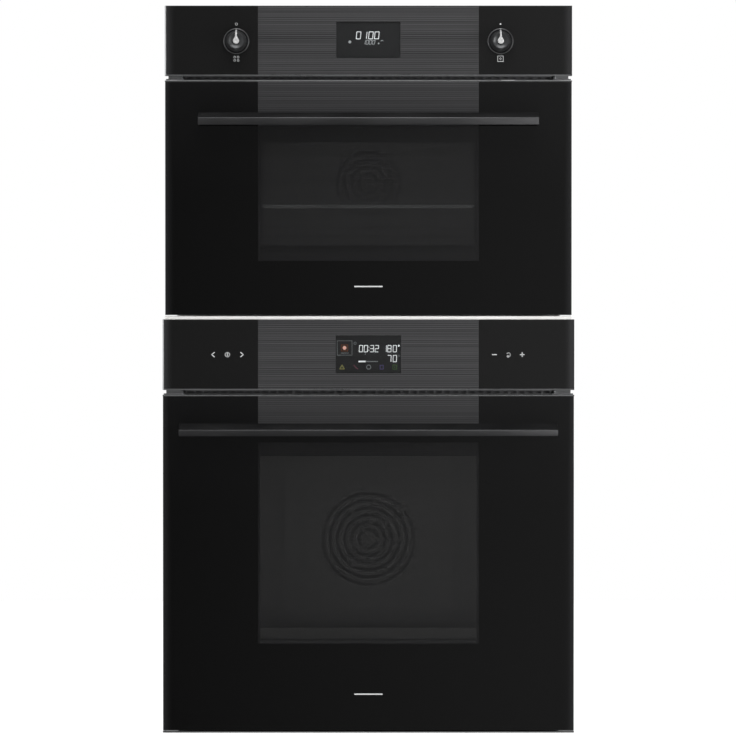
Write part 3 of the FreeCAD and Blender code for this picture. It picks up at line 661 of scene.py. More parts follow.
def lathe(bm: bmesh.types.BMesh, outline: list[tuple[float, float]], centre: Vector,
          steps: int = 72) -> None:
    """Turns an outline of (radius, y) points about a line along Y, and closes it.

    Args:
        bm: the mesh to add to.
        outline: points in metres, y counted from the centre.
        centre: a point on the axis.
        steps: how many steps a full turn has.
    """
    verts = [bm.verts.new(centre + Vector((r, y, 0.0))) for r, y in outline]
    edges = [bm.edges.new(pair) for pair in zip(verts, verts[1:])]
    bmesh.ops.spin(bm, geom=verts + edges, cent=centre, axis=(0, 1, 0), angle=2 * math.pi,
                   steps=steps, use_merge=True)
    bmesh.ops.remove_doubles(bm, verts=bm.verts, dist=1e-6)
    bmesh.ops.recalc_face_normals(bm, faces=bm.faces)


def disc(bm: bmesh.types.BMesh, centre: Vector, radius: float, depth: float) -> None:
    """Adds a short closed cylinder along Y whose middle is at the centre."""
    place = Matrix.Translation(centre) @ Matrix.Rotation(math.pi / 2, 4, "X")
    bmesh.ops.create_cone(bm, cap_ends=True, segments=24, radius1=radius, radius2=radius,
                          depth=depth, matrix=place)


def filleted(points: list[tuple[float, float]], radii: list[float],
             steps: int = 4) -> list[tuple[float, float]]:
    """Rounds the corners of a closed polygon.

    Args:
        points: its corners.
        radii: one rounding radius for each corner, 0 to keep it sharp.
        steps: how many straight pieces each rounding has.

    Returns:
        The points of the rounded polygon.
    """
    made = []
    for k, (corner, radius) in enumerate(zip(points, radii)):
        here = Vector(corner)
        if not radius:
            made.append(corner)
            continue
        before = (Vector(points[k - 1]) - here).normalized()
        after = (Vector(points[(k + 1) % len(points)]) - here).normalized()
        half = before.angle(after) / 2
        centre = here + (before + after).normalized() * (radius / math.sin(half))
        start = here + before * (radius / math.tan(half)) - centre
        stop = here + after * (radius / math.tan(half)) - centre
        for step in range(steps + 1):
            way = start.slerp(stop, step / steps).normalized()
            made.append(tuple(centre + way * radius))
    return made


def prism_x(bm: bmesh.types.BMesh, outline: list[tuple[float, float]], x0: float, x1: float,
            bevel: float = 0.0) -> None:
    """Adds a solid bar along X.

    Args:
        bm: the mesh to add to.
        outline: its section's (y, z) points.
        x0: one end.
        x1: the other end.
        bevel: rounding of the rims of its two ends.
    """
    rings = [[bm.verts.new((x, y, z)) for y, z in outline] for x in (x0, x1)]
    caps = [bm.faces.new(ring) for ring in rings]
    for k in range(len(outline)):
        j = (k + 1) % len(outline)
        bm.faces.new((rings[0][k], rings[0][j], rings[1][j], rings[1][k]))
    bmesh.ops.recalc_face_normals(bm, faces=bm.faces)
    if bevel:
        edges = [edge for cap in caps for edge in cap.edges]
        bmesh.ops.bevel(bm, geom=edges, offset=bevel, segments=2, profile=0.5, affect="EDGES", material=-1)


def rounded_loop(half_x: float, half_v: float, radius: float, steps: int = 6) -> list[tuple[float, float]]:
    """Points of a rounded rectangle round the origin."""
    corners = [(-half_x, -half_v), (half_x, -half_v), (half_x, half_v), (-half_x, half_v)]
    return filleted(corners, [radius] * 4, steps)


def loft(bm: bmesh.types.BMesh, rings: list[list[Vector]], closed: bool = False) -> None:
    """Joins rings of equally many points by faces.

    Args:
        bm: the mesh to add to.
        rings: the rings, in order.
        closed: whether the last ring joins the first; otherwise both ends get a cap.
    """
    made = [[bm.verts.new(point) for point in ring] for ring in rings]
    pairs = list(zip(made, made[1:])) + ([(made[-1], made[0])] if closed else [])
    for one, two in pairs:
        for k in range(len(one)):
            j = (k + 1) % len(one)
            bm.faces.new((one[k], one[j], two[j], two[k]))
    if not closed:
        bm.faces.new(made[0])
        bm.faces.new(made[-1])
    bmesh.ops.recalc_face_normals(bm, faces=bm.faces)


def screw(bm: bmesh.types.BMesh, centre: Vector, out: Vector, radius: float = 3.6 * MM) -> None:
    """Adds a pan-head screw with a recess.

    Args:
        bm: the mesh to add to.
        centre: the middle of the seat.
        out: the direction that the head stands out along.
        radius: the head's radius.
    """
    turn = out.to_track_quat("Z", "Y").to_matrix().to_4x4()
    outline = [(1.0, 0.0), (1.0, 0.25), (0.8, 0.55), (0.45, 0.65), (0.38, 0.35)]  # shares of the radius
    angles = [k * math.pi / 5 for k in range(10)]
    points = [Vector((math.cos(a), math.sin(a), 0)) for a in angles]
    rings = []
    for share, height in outline:
        rise = Vector((0, 0, height * radius))
        rings.append([centre + turn @ (p * radius * share + rise) for p in points])
    loft(bm, rings)


@dataclass
class Signs:
    """Flat strokes of one finish drawn in the plane of the front, such as digits and key signs."""

    name: str
    finish: Finish
    y: float  # front face of the strokes
    depth: float = 0.05 * MM
    slot: str = "display"

    def __post_init__(self) -> None:
        """Starts an empty mesh."""
        self.mesh = bmesh.new()

    def stroke(self, points: list[tuple[float, float]], width: float) -> None:
        """Draws a line as flat bars.

        Args:
            points: the (x, z) points that it goes through, in millimetres.
            width: its width.
        """
        for (x0, z0), (x1, z1) in zip(points, points[1:]):
            length = math.hypot(x1 - x0, z1 - z0) + width * 0.5
            turn = Matrix.Rotation(-math.atan2(z1 - z0, x1 - x0), 4, "Y")
            middle = Vector(((x0 + x1) / 2 * MM, self.y + self.depth / 2, (z0 + z1) / 2 * MM))
            half = Vector((length * MM, self.depth, width * MM)) / 2
            slab(self.mesh, middle - half, middle + half, turn=turn)

    def ring(self, x: float, z: float, radius: float, width: float, start: float = 0.0,
             stop: float = 360.0) -> None:
        """Draws an arc or a full ring.

        Args:
            x: middle, in millimetres.
            z: middle, in millimetres.
            radius: to the middle of the line.
            width: the line's width.
            start: first angle, in degrees from +X.
            stop: last angle.
        """
        steps = max(4, int(abs(stop - start) / 20))
        angles = [math.radians(start + (stop - start) * k / steps) for k in range(steps + 1)]
        self.stroke([(x + radius * math.cos(a), z + radius * math.sin(a)) for a in angles], width)

    def frame(self, x0: float, x1: float, z0: float, z1: float, width: float) -> None:
        """Draws the outline of a rectangle between two corners in millimetres."""
        self.stroke([(x0, z1), (x1, z1), (x1, z0), (x0, z0), (x0, z1)], width)

    def dot(self, x: float, z: float, radius: float) -> None:
        """Draws a filled circle, with its middle in millimetres."""
        disc(self.mesh, Vector((x * MM, self.y + self.depth / 2, z * MM)), radius * MM, self.depth)

    def digit(self, sign: str, x: float, z: float, width: float, height: float, line: float,
              lean: float = 0.0) -> None:
        """Draws a seven-segment digit round its middle.

        Args:
            sign: one digit.
            x: middle, in millimetres.
            z: middle, in millimetres.
            width: between the middles of the upright segments.
            height: between the middles of the top and bottom segments.
            line: segment thickness.
            lean: how far the top stands to the right of the bottom.
        """
        lit = {"0": "abcdef", "1": "bc", "2": "abged", "3": "abgcd", "7": "abc", "8": "abcdefg"}[sign]
        w, h, gap = width / 2, height / 2, line * 0.3
        ends = {
            "a": ((-w + gap, h), (w - gap, h)), "g": ((-w + gap, 0), (w - gap, 0)),
            "d": ((-w + gap, -h), (w - gap, -h)), "b": ((w, gap), (w, h - gap)),
            "c": ((w, -h + gap), (w, -gap)), "f": ((-w, gap), (-w, h - gap)),
            "e": ((-w, -h + gap), (-w, -gap)),
        }
        for key in lit:
            points = [(x + px + lean * pz / height, z + pz) for px, pz in ends[key]]
            self.stroke(points, line)

    def finish_on(self, body: str) -> bpy.types.Object:
        """Makes the strokes an object that rides on a body."""
        return piece(self.name, self.mesh, self.finish, body, smooth=None)


# Control panels

@dataclass
class Knob:
    """Skirted control knob: dark skirt, bright rim, dished black cone, and a pointer with a boss."""

    side: str
    skirt: float = 19.0 * MM  # radius, like the next two
    root: float = 15.2 * MM
    tip: float = 12.0 * MM
    fin: float = 2.5 * MM  # the pointer's width
    boss: float = 4.5 * MM  # radius

    def build(self) -> None:
        """Makes the pieces; the skirt and the cone stand for the CAD knob."""
        low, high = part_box(f"upper_knob_{self.side}")
        centre = Vector(((low.x + high.x) / 2, 0.0, (low.z + high.z) / 2))
        back, front = high.y, low.y + 1.0 * MM
        self.make_skirt(centre, back)
        self.make_cone(centre, back, front)
        self.make_pointer(centre, back, low.y)

    @property
    def body(self) -> str:
        """The CAD body that the pieces move with."""
        return f"{self.side}_knob"

    def make_skirt(self, centre: Vector, back: float) -> None:
        """Turns the dark skirt, and the bright rim set into its edge.

        Args:
            centre: a point on the knob's axis, which is its y = 0.
            back: y of the skirt's back.
        """
        inner, outer = self.root + 0.3 * MM, self.skirt
        groove = outer - 1.7 * MM
        outline = [(inner, back), (outer - 0.3 * MM, back), (outer, back - 0.4 * MM),
                   (outer, back - 1.5 * MM), (groove, back - 1.5 * MM), (groove - 0.5 * MM, back - 1.1 * MM),
                   (inner, back - 0.9 * MM), (inner, back)]
        bm = bmesh.new()
        lathe(bm, outline, centre)
        skirt = piece(f"{self.side}_knob_skirt", bm, SATIN_BLACK, self.body)
        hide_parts(f"upper_knob_{self.side}")
        outline = [(groove, back - 1.55 * MM), (outer - 0.45 * MM, back - 1.55 * MM),
                   (outer - 0.45 * MM, back - 1.9 * MM), (outer - 0.75 * MM, back - 2.3 * MM),
                   (outer - 1.2 * MM, back - 2.3 * MM), (groove, back - 1.9 * MM), (groove, back - 1.55 * MM)]
        rim = bmesh.new()
        lathe(rim, outline, centre)
        piece(f"{self.side}_knob_rim", rim, KNOB_RING, self.body)

    def make_cone(self, centre: Vector, back: float, front: float) -> None:
        """Turns the gripping cone with its dished face.

        Args:
            centre: a point on the knob's axis, which is its y = 0.
            back: y of the skirt's back.
            front: y of the cone's front rim.
        """
        outline = [(0.0, back - 0.2 * MM), (self.root, back - 0.2 * MM), (self.root, back - 3.0 * MM),
                   (self.tip + 0.5 * MM, front + 2.2 * MM), (self.tip + 0.1 * MM, front + 0.8 * MM),
                   (self.tip - 0.5 * MM, front + 0.1 * MM), (self.tip - 1.2 * MM, front),
                   (self.tip - 2.2 * MM, front + 0.5 * MM), (self.tip * 0.45, front + 2.0 * MM),
                   (0.0, front + 2.3 * MM)]
        bm = bmesh.new()
        lathe(bm, outline, centre)
        piece(f"{self.side}_knob_cone", bm, KNOB_BLACK, self.body)

    def make_pointer(self, centre: Vector, back: float, front: float) -> None:
        """Makes the bright fin, from a round boss over the cone's rim and down to the skirt.

        Args:
            centre: a point on the knob's axis, which is its y = 0.
            back: y of the skirt's back.
            front: y of the pointer's face.
        """
        outline = [(front, 2.0 * MM), (front, self.tip + 0.6 * MM), (front + 1.2 * MM, self.tip + 1.2 * MM),
                   (back - 2.6 * MM, self.root + 1.5 * MM), (back - 2.6 * MM, self.root - 1.0 * MM),
                   (front + 3.6 * MM, self.tip - 1.6 * MM), (front + 3.6 * MM, 2.0 * MM)]
        bar = bmesh.new()
        prism_x(bar, [(y, centre.z + z) for y, z in outline], centre.x - self.fin / 2,
                centre.x + self.fin / 2, 0.35 * MM)
        piece(f"{self.side}_knob_fin", bar, POINTER, self.body)
        outline = [(0.0, front + 3.6 * MM), (self.boss - 0.1 * MM, front + 3.6 * MM),
                   (self.boss, front + 0.9 * MM), (self.boss - 0.3 * MM, front + 0.25 * MM),
                   (self.boss - 1.0 * MM, front), (1.8 * MM, front + 0.3 * MM), (0.0, front + 0.6 * MM)]
        boss = bmesh.new()
        lathe(boss, outline, centre, 48)
        neck = [(-self.fin / 2, 6.8 * MM), (-self.boss * 0.86, 1.6 * MM), (self.boss * 0.86, 1.6 * MM),
                (self.fin / 2, 6.8 * MM)]
        loft(boss, [[centre + Vector((x, y, z)) for x, z in neck]
                    for y in (front + 0.15 * MM, front + 3.5 * MM)])
        piece(f"{self.side}_knob_boss", boss, POINTER, self.body)


@dataclass
class UpperPanel:
    """Signs and display digits of the upper control panel, and its two knobs."""

    knob_x: float = 191.3  # millimetres, like the next two
    knob_z: float = 1003.0
    display_z: float = 1011.7
    petal: tuple[float, float] = (2.45, 2.35)  # from the middle of the left sign to its small rings

    def build(self) -> None:
        """Makes every piece of the panel."""
        for side in ("left", "right"):
            Knob(side).build()
        self.print_signs()
        self.light_digits()

    def print_signs(self) -> None:
        """Prints the marks above and below each knob."""
        signs = Signs("upper_panel_signs", PAINTED_GLOW_PRINT, PRINT_Y, PRINT_T, "black_glass")
        above, below = self.knob_z + 24.9, self.knob_z - 25.3
        signs.ring(-self.knob_x, above, 1.7, 0.6)
        signs.dot(self.knob_x, above, 1.3)
        signs.finish_on("chassis")
        signs = Signs("upper_panel_function_signs", PAINTED_GLOW_PRINT_BOLD, PRINT_Y, PRINT_T, "black_glass")
        for dx in (-self.petal[0], self.petal[0]):
            for dz in (-self.petal[1], self.petal[1]):
                signs.ring(-self.knob_x + dx, below + dz, 1.4, 0.5)
        corner = 4.0
        signs.frame(self.knob_x - corner, self.knob_x + corner, below - corner, below + corner, 0.6)
        for dx, dz in ((-1.3, 0.0), (1.3, 0.0), (0.0, -1.3), (0.0, 1.3)):
            signs.dot(self.knob_x + dx, below + dz, 0.55)
        signs.finish_on("chassis")

    def light_digits(self) -> None:
        """Lights a time and a power in the display."""
        digits = Signs("upper_display_digits", SEGMENT, LIT_Y)
        for sign, x in zip("0100", (-14.2, -5.4, 3.6, 12.2)):
            digits.digit(sign, x, self.display_z, 6.0, 10.2, 1.15, 1.0)
        digits.finish_on("chassis")
        small = Signs("upper_display_small_signs", SEGMENT_SOFT, LIT_Y)
        for k, sign in enumerate("1000"):
            small.digit(sign, -6.2 + 4.6 * k, self.display_z - 10.0, 3.2, 5.8, 0.75, 1.3)
        small.dot(-27.0, self.display_z - 9.6, 2.1)
        small.dot(14.8, self.display_z - 11.7, 1.2)
        small.ring(19.9, self.display_z - 9.6, 2.2, 0.8, 40.0, 150.0)
        small.finish_on("chassis")


@dataclass
class LowerPanel:
    """Touch keys and display signs of the lower control panel."""

    key_z: float = 549.0  # millimetres, like the next two
    time_z: float = 557.6
    row_z: float = 530.8

    def build(self) -> None:
        """Makes every piece of the panel."""
        self.print_keys()
        self.light_digits()
        self.light_icons()

    def print_keys(self) -> None:
        """Prints the six touch keys."""
        keys = Signs("lower_panel_keys", PAINTED_GLOW_PRINT, PRINT_Y, PRINT_T, "black_glass")
        z = self.key_z
        for x, way in ((-225.2, 1.0), (-183.4, -1.0)):
            keys.stroke([(x + way * 2.1, z + 3.4), (x - way * 2.1, z), (x + way * 2.1, z - 3.4)], 1.15)
        keys.ring(-204.5, z, 3.0, 1.5)
        keys.stroke([(-204.5, z - 1.8), (-204.5, z + 1.8)], 1.2)
        keys.stroke([(179.6, z), (186.0, z)], 1.2)
        keys.ring(203.2, z, 2.6, 1.2, -90.0, 150.0)
        keys.stroke([(202.8, z - 4.2), (201.0, z - 2.6), (202.8, z - 1.2)], 0.9)
        keys.stroke([(219.9, z), (226.1, z)], 1.1)
        keys.stroke([(223.0, z - 3.1), (223.0, z + 3.1)], 1.1)
        keys.finish_on("chassis")

    def light_digits(self) -> None:
        """Lights a time, two numbers and a bar."""
        digits = Signs("lower_display_digits", SEGMENT, LIT_Y)
        for sign, x in zip("0032", (-10.8, -3.6, 5.0, 12.2)):
            digits.digit(sign, x, self.time_z, 4.9, 9.4, 0.95, 0.5)
        for dz in (-2.2, 2.2):
            digits.dot(0.7, self.time_z + dz, 0.6)
        for sign, x in zip("180", (23.6, 30.4, 38.3)):
            digits.digit(sign, x, self.time_z, 4.9, 9.4, 0.95, 0.3)
        digits.ring(44.0, self.time_z + 4.3, 0.9, 0.5)
        for sign, x in zip("70", (30.4, 38.3)):
            digits.digit(sign, x, self.time_z - 14.4, 4.9, 9.4, 0.95, 0.3)
        digits.stroke([(-13.8, self.time_z - 18.6), (-4.4, self.time_z - 18.6)], 2.2)
        digits.finish_on("chassis")

    def light_icons(self) -> None:
        """Lights the function sign and the row of coloured icons."""
        dim = Signs("lower_display_dim_signs", SEGMENT_DIM, LIT_Y)
        dim.frame(-45.2, -23.8, 548.2, 569.0, 0.75)
        dim.stroke([(-40.0, 551.2), (-29.0, 551.2)], 0.9)
        dim.ring(-19.4, 565.4, 1.7, 0.8)
        dim.stroke([(-4.4, self.time_z - 8.6), (-4.4, self.time_z - 6.0)], 1.0)
        dim.stroke([(-4.0, self.time_z - 18.6), (13.6, self.time_z - 18.6)], 1.4)
        dim.ring(0.4, self.row_z, 3.0, 1.2)
        dim.ring(44.6, self.time_z - 10.4, 1.0, 0.6)
        dim.finish_on("chassis")
        warm = Signs("lower_display_warm_sign", SIGN_WARM, LIT_Y)
        warm.dot(-34.7, 558.7, 2.7)
        warm.finish_on("chassis")
        hearth = Signs("lower_display_hearth_sign", SIGN_ORANGE, LIT_Y)
        hearth.frame(-39.3, -30.0, 554.2, 563.0, 1.0)
        hearth.finish_on("chassis")
        yellow = Signs("lower_display_yellow_icon", SIGN_YELLOW, LIT_Y)
        yellow.stroke([(-41.4, self.row_z - 2.6), (-38.2, self.row_z + 3.0), (-35.2, self.row_z - 2.6),
                       (-41.4, self.row_z - 2.6)], 1.6)
        yellow.finish_on("chassis")
        pink = Signs("lower_display_pink_icon", SIGN_PINK, LIT_Y)
        pink.stroke([(-21.0, self.row_z + 3.0), (-18.0, self.row_z - 1.0), (-15.2, self.row_z - 2.6)], 1.5)
        pink.finish_on("chassis")
        violet = Signs("lower_display_violet_icon", SIGN_VIOLET, LIT_Y)
        violet.frame(17.0, 21.6, self.row_z - 2.8, self.row_z + 2.6, 1.4)
        violet.finish_on("chassis")
        green = Signs("lower_display_green_icon", SIGN_GREEN, LIT_Y)
        green.frame(35.4, 41.0, self.row_z - 3.0, self.row_z + 3.0, 1.1)
        green.dot(38.2, self.row_z, 0.9)
        green.finish_on("chassis")


# Doors and cavities

@dataclass
class Door:
    """Blender pieces of one door: grip, top bead, plain mark, pane clips, spacer and hinge screws."""

    level: Level
    mark_z: float  # millimetres
    glass: PrintedGlass
    header: float  # how far the spacer's top bar reaches down the window
    wall: float = 3.0 * MM
    lip: float = 3.4 * MM  # thickness of the grip's front
    rise: float = 8.0 * MM  # how much the grip's top climbs towards the glass

    def build(self) -> None:
        """Makes every piece of the door."""
        self.make_handle()
        self.make_bead()
        self.make_mark()
        self.make_clips()
        self.make_spacer()

    @property
    def body(self) -> str:
        """The CAD body that the pieces move with."""
        return f"{self.level.value}_door"

    def make_handle(self) -> None:
        """Makes the grip: a sloping plate with a rounded lip along its front."""
        node = f"{self.level.value}_door_handle"
        low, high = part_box(node)
        front_top = high.z - self.rise
        under = front_top - self.wall + self.rise * self.lip / (high.y - low.y)
        corners = [(high.y, high.z), (low.y, front_top), (low.y, low.z), (low.y + self.lip, low.z),
                   (low.y + self.lip, under), (high.y, high.z - self.wall)]
        outline = filleted(corners, [0.0, 1.0 * MM, 1.0 * MM, 0.7 * MM, 1.2 * MM, 0.0], 4)
        bm = bmesh.new()
        prism_x(bm, outline, low.x, high.x, 0.35 * MM)
        grip = piece(f"{self.level.value}_grip", bm, BLACK_ANODISED, self.body)
        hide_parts(node)

    def make_bead(self) -> None:
        """Makes the satin bead along the door's top edge."""
        low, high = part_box(f"{self.level.value}_door_frame")
        front = FRONT_Y - 0.15 * MM
        outline = filleted([(front, high.z - 1.3 * MM), (front + 0.5 * MM, high.z - 1.3 * MM),
                            (front + 0.5 * MM, high.z), (front, high.z)], [0.2 * MM, 0, 0, 0.42 * MM])
        bm = bmesh.new()
        prism_x(bm, outline, low.x + 0.3 * MM, high.x - 0.3 * MM)
        piece(f"{self.level.value}_door_top_bead", bm, DOOR_TRIM, self.body)

    def make_mark(self) -> None:
        """Makes the plain mark low on the glass."""
        mark = Signs(f"{self.level.value}_door_mark", PAINTED_GLOW_PRINT, PRINT_Y, PRINT_T, "black_glass")
        mark.stroke([(-20.0, self.mark_z), (20.0, self.mark_z)], 1.8)
        mark.finish_on(self.body)

    def make_spacer(self) -> None:
        """Makes the profile that keeps the panes apart; its inner edges show round the window."""
        glass = self.glass.clear
        under_print, shown, bevel = 2 * MM, 3 * MM, 0.3 * MM
        outer, inner = glass.half + under_print, glass.half - shown
        y0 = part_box(f"{self.level.value}_door_glass")[1].y + 0.3 * MM
        y1 = y0 + 1.2 * MM
        bm = bmesh.new()
        for x0, x1 in ((-outer, -inner), (inner, outer)):
            slab(bm, Vector((x0, y0, glass.low)), Vector((x1, y1, glass.high)), bevel)
        slab(bm, Vector((-outer, y0 + 0.1 * MM, glass.high - self.header)),
             Vector((outer, y1 + 0.1 * MM, glass.high + under_print)), bevel)
        piece(f"{self.level.value}_pane_spacer", bm, SPACER, self.body)

    def make_clips(self) -> None:
        """Makes the clips of the inner pane and the hinge screws, on the door's back."""
        low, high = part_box(f"{self.level.value}_door_panes")
        clips, screws = bmesh.new(), bmesh.new()
        half_x, half_z = 11 * MM, 5 * MM
        for x in (low.x + 30 * MM, 0.0, high.x - 30 * MM):
            for z in (high.z - 4 * MM, low.z + 4 * MM):
                slab(clips, Vector((x - half_x, high.y - 0.4 * MM, z - half_z)),
                     Vector((x + half_x, high.y + 0.25 * MM, z + half_z)), 0.15 * MM)
        piece(f"{self.level.value}_pane_clips", clips, SATIN_BLACK, self.body)
        low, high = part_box(f"{self.level.value}_door_hinges")
        inset = 9.5 * MM
        for x in (low.x + inset, high.x - inset):
            for z in (high.z - 12 * MM, high.z - 60 * MM):
                screw(screws, Vector((x, high.y, z)), Vector((0, 1, 0)), 3.2 * MM)
        piece(f"{self.level.value}_hinge_screws", screws, SCREW_ZINC, self.body)


@dataclass
class Gap:
    """What shows round one control panel: its side beads, and the air grille under it."""

    level: Level
    slat: float = 1.1 * MM  # height
    posts: int = 45
    post_step: float = 12 * MM
    half: float = 268 * MM  # half the grille's width
    bead: float = 1.1 * MM  # depth

    def build(self) -> None:
        """Makes the beads and the grille."""
        low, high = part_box(f"{self.level.value}_panel_frame")
        glass_low, glass_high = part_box(f"{self.level.value}_panel_glass")
        door_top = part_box(f"{self.level.value}_door_frame")[1].z
        front = FRONT_Y - 0.9 * MM
        # The left bead is bright metal as a painted highlight and the right one satin black as painted shade;
        # both stand for the same trim, lit more from the left.
        for side, x0, x1, chamfer, finish in (
                ("left", low.x, glass_low.x - 0.05 * MM, 0.95 * MM, PAINTED_HIGHLIGHT_BEAD),
                ("right", glass_high.x + 0.05 * MM, high.x, 0.0, SATIN_BLACK)):
            bead = bmesh.new()
            outline = [(x0, front + chamfer), (x1, front), (x1, front + self.bead), (x0, front + self.bead)]
            loft(bead, [[Vector((x, y, z)) for x, y in outline]
                        for z in (glass_low.z - 1.6 * MM, high.z - 0.1 * MM)])
            piece(f"{self.level.value}_panel_{side}_bead", bead, finish, "chassis")
        self.make_grille(door_top + 0.7 * MM, glass_low.z - 2.0 * MM)

    def make_grille(self, z0: float, z1: float) -> None:
        """Makes the grille of slats and posts in the air gap, with a buffer pad and pin at each end.

        Args:
            z0: the grille's foot.
            z1: its top.
        """
        bm = bmesh.new()
        bevel, back = 0.2 * MM, FRONT_Y + 9.5 * MM
        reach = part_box(f"{self.level.value}_panel_frame")[1].x - 1.5 * MM
        for x0, x1 in ((-reach, -267 * MM), (267 * MM, reach)):
            slab(bm, Vector((x0, FRONT_Y + 4 * MM, z0 - 0.4 * MM)),
                 Vector((x1, FRONT_Y + 9 * MM, z0 + 1.5 * MM)), bevel)
        for z in (z0, z1 - self.slat):
            slab(bm, Vector((-self.half, back, z)), Vector((self.half, back + 5 * MM, z + self.slat)), bevel)
        for k in range(self.posts):
            x = (k - self.posts // 2) * self.post_step
            slab(bm, Vector((x - 0.7 * MM, back + 0.6 * MM, z0 + self.slat * 0.5)),
                 Vector((x + 0.7 * MM, back + 4.5 * MM, z1 - self.slat * 0.5)))
        slab(bm, Vector((-self.half, back + 7 * MM, z0)), Vector((self.half, back + 8 * MM, z1)), bevel)
        piece(f"{self.level.value}_air_grille", bm, GRILLE_BLACK, "chassis")
        pins = bmesh.new()
        for x in (-270.2 * MM, 270.2 * MM):
            slab(pins, Vector((x - 0.9 * MM, FRONT_Y + 5.6 * MM, z0 + 0.8 * MM)),
                 Vector((x + 0.9 * MM, FRONT_Y + 7.9 * MM, z1)), 0.25 * MM)
        piece(f"{self.level.value}_grille_pins", pins, SCREW_ZINC, "chassis")


@dataclass
class Mouth:
    """Blender pieces of one cavity: the round-cornered gasket, and the lips of its fan cover."""

    level: Level
    slot_rings: int
    corner: float = 16.0 * MM
    bulb: float = 3.3 * MM  # radius of the gasket, across the mouth's edge
    first_slot: float = 14.0 * MM  # radius
    slot_step: float = 11.0 * MM
    lip_out: float = 4.6 * MM  # from a slot's middle to its lip's middle
    lip_height: float = 0.8 * MM

    def build(self) -> None:
        """Makes the gasket and the lips."""
        self.make_gasket()
        self.make_cover_lips()

    def make_cover_lips(self) -> None:
        """Makes the raised lips round the slots of the fan cover."""
        low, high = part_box(f"{self.level.value}_fan_cover")
        middle = (low + high) / 2
        bm = bmesh.new()
        foot, crest, steps = 1.2 * MM, 0.5 * MM, 72
        top = low.y - self.lip_height
        for k in range(self.slot_rings):
            radius = self.first_slot + self.slot_step * k + self.lip_out
            section = ((radius - foot, low.y), (radius - crest, top), (radius + crest, top),
                       (radius + foot, low.y))
            angles = [2 * math.pi * step / steps for step in range(steps)]
            rings = [[Vector((middle.x + r * math.cos(a), y, middle.z + r * math.sin(a))) for r, y in section]
                     for a in angles]
            loft(bm, rings, closed=True)
        # The lips' pale enamel is a painted highlight along each ring of slots.
        piece(f"{self.level.value}_fan_cover_lips", bm, COVER_LIP, "chassis")

    def make_gasket(self) -> None:
        """Sweeps a bulb profile round the cavity's mouth; it stands for the CAD seal."""
        node = f"{self.level.value}_door_seal"
        low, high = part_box(node)
        middle, size = (low + high) / 2, (high - low) / 2
        rings = []
        steps = 12
        for k in range(steps):
            angle = 2 * math.pi * k / steps
            inset = self.bulb * (1 - math.cos(angle))
            y = middle.y + size.y * math.sin(angle)
            loop = rounded_loop(size.x - inset, size.z - inset, self.corner - inset, 6)
            rings.append([Vector((middle.x + u, y, middle.z + v)) for u, v in loop])
        bm = bmesh.new()
        loft(bm, rings, closed=True)
        seal = piece(f"{self.level.value}_gasket", bm, GASKET, "chassis")
        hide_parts(node)


@dataclass
class Tray:
    """Pressed enamelled baking tray with round corners and a rolled rim."""

    corner: float = 26.0 * MM
    wall: float = 1.2 * MM
    rim: float = 7.0 * MM  # width

    def build(self) -> None:
        """Makes the tray; it stands for the CAD one."""
        low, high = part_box("lower_baking_tray")
        middle, size = (low + high) / 2, (high - low) / 2
        rim, under = self.rim, high.z - self.wall
        floor_ring = 6  # the ring where the inside meets the flat floor; the next one is under it
        section = [  # inset from the rim's outer edge, and height
            (0.0, high.z - self.wall * 0.5), (0.4 * MM, high.z), (rim - 1.5 * MM, high.z),
            (rim + 0.6 * MM, high.z - 0.8 * MM), (rim + 4.0 * MM, low.z + 6.0 * MM),
            (rim + 6.0 * MM, low.z + 2.4 * MM), (rim + 10.0 * MM, low.z + self.wall),
            (rim + 10.0 * MM, low.z), (rim + 5.2 * MM, low.z + 1.2 * MM),
            (rim + 2.6 * MM, low.z + 5.0 * MM), (rim - 0.6 * MM, high.z - 2.0 * MM),
            (rim - 1.8 * MM, under), (0.4 * MM, under),
        ]
        bm = bmesh.new()
        rings = []
        for inset, z in section:
            loop = rounded_loop(size.x - inset, size.y - inset, self.corner - inset * 0.6, 7)
            rings.append([bm.verts.new((middle.x + u, middle.y + v, z)) for u, v in loop])
        for index, (one, two) in enumerate(zip(rings, rings[1:] + rings[:1])):
            if index == floor_ring:
                bm.faces.new(one)
                bm.faces.new(two)
                continue
            for k in range(len(one)):
                j = (k + 1) % len(one)
                bm.faces.new((one[k], one[j], two[j], two[k]))
        bmesh.ops.recalc_face_normals(bm, faces=bm.faces)
        tray = piece("pressed_baking_tray", bm, TRAY_ENAMEL, "chassis")
        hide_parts("lower_baking_tray")


# Studio

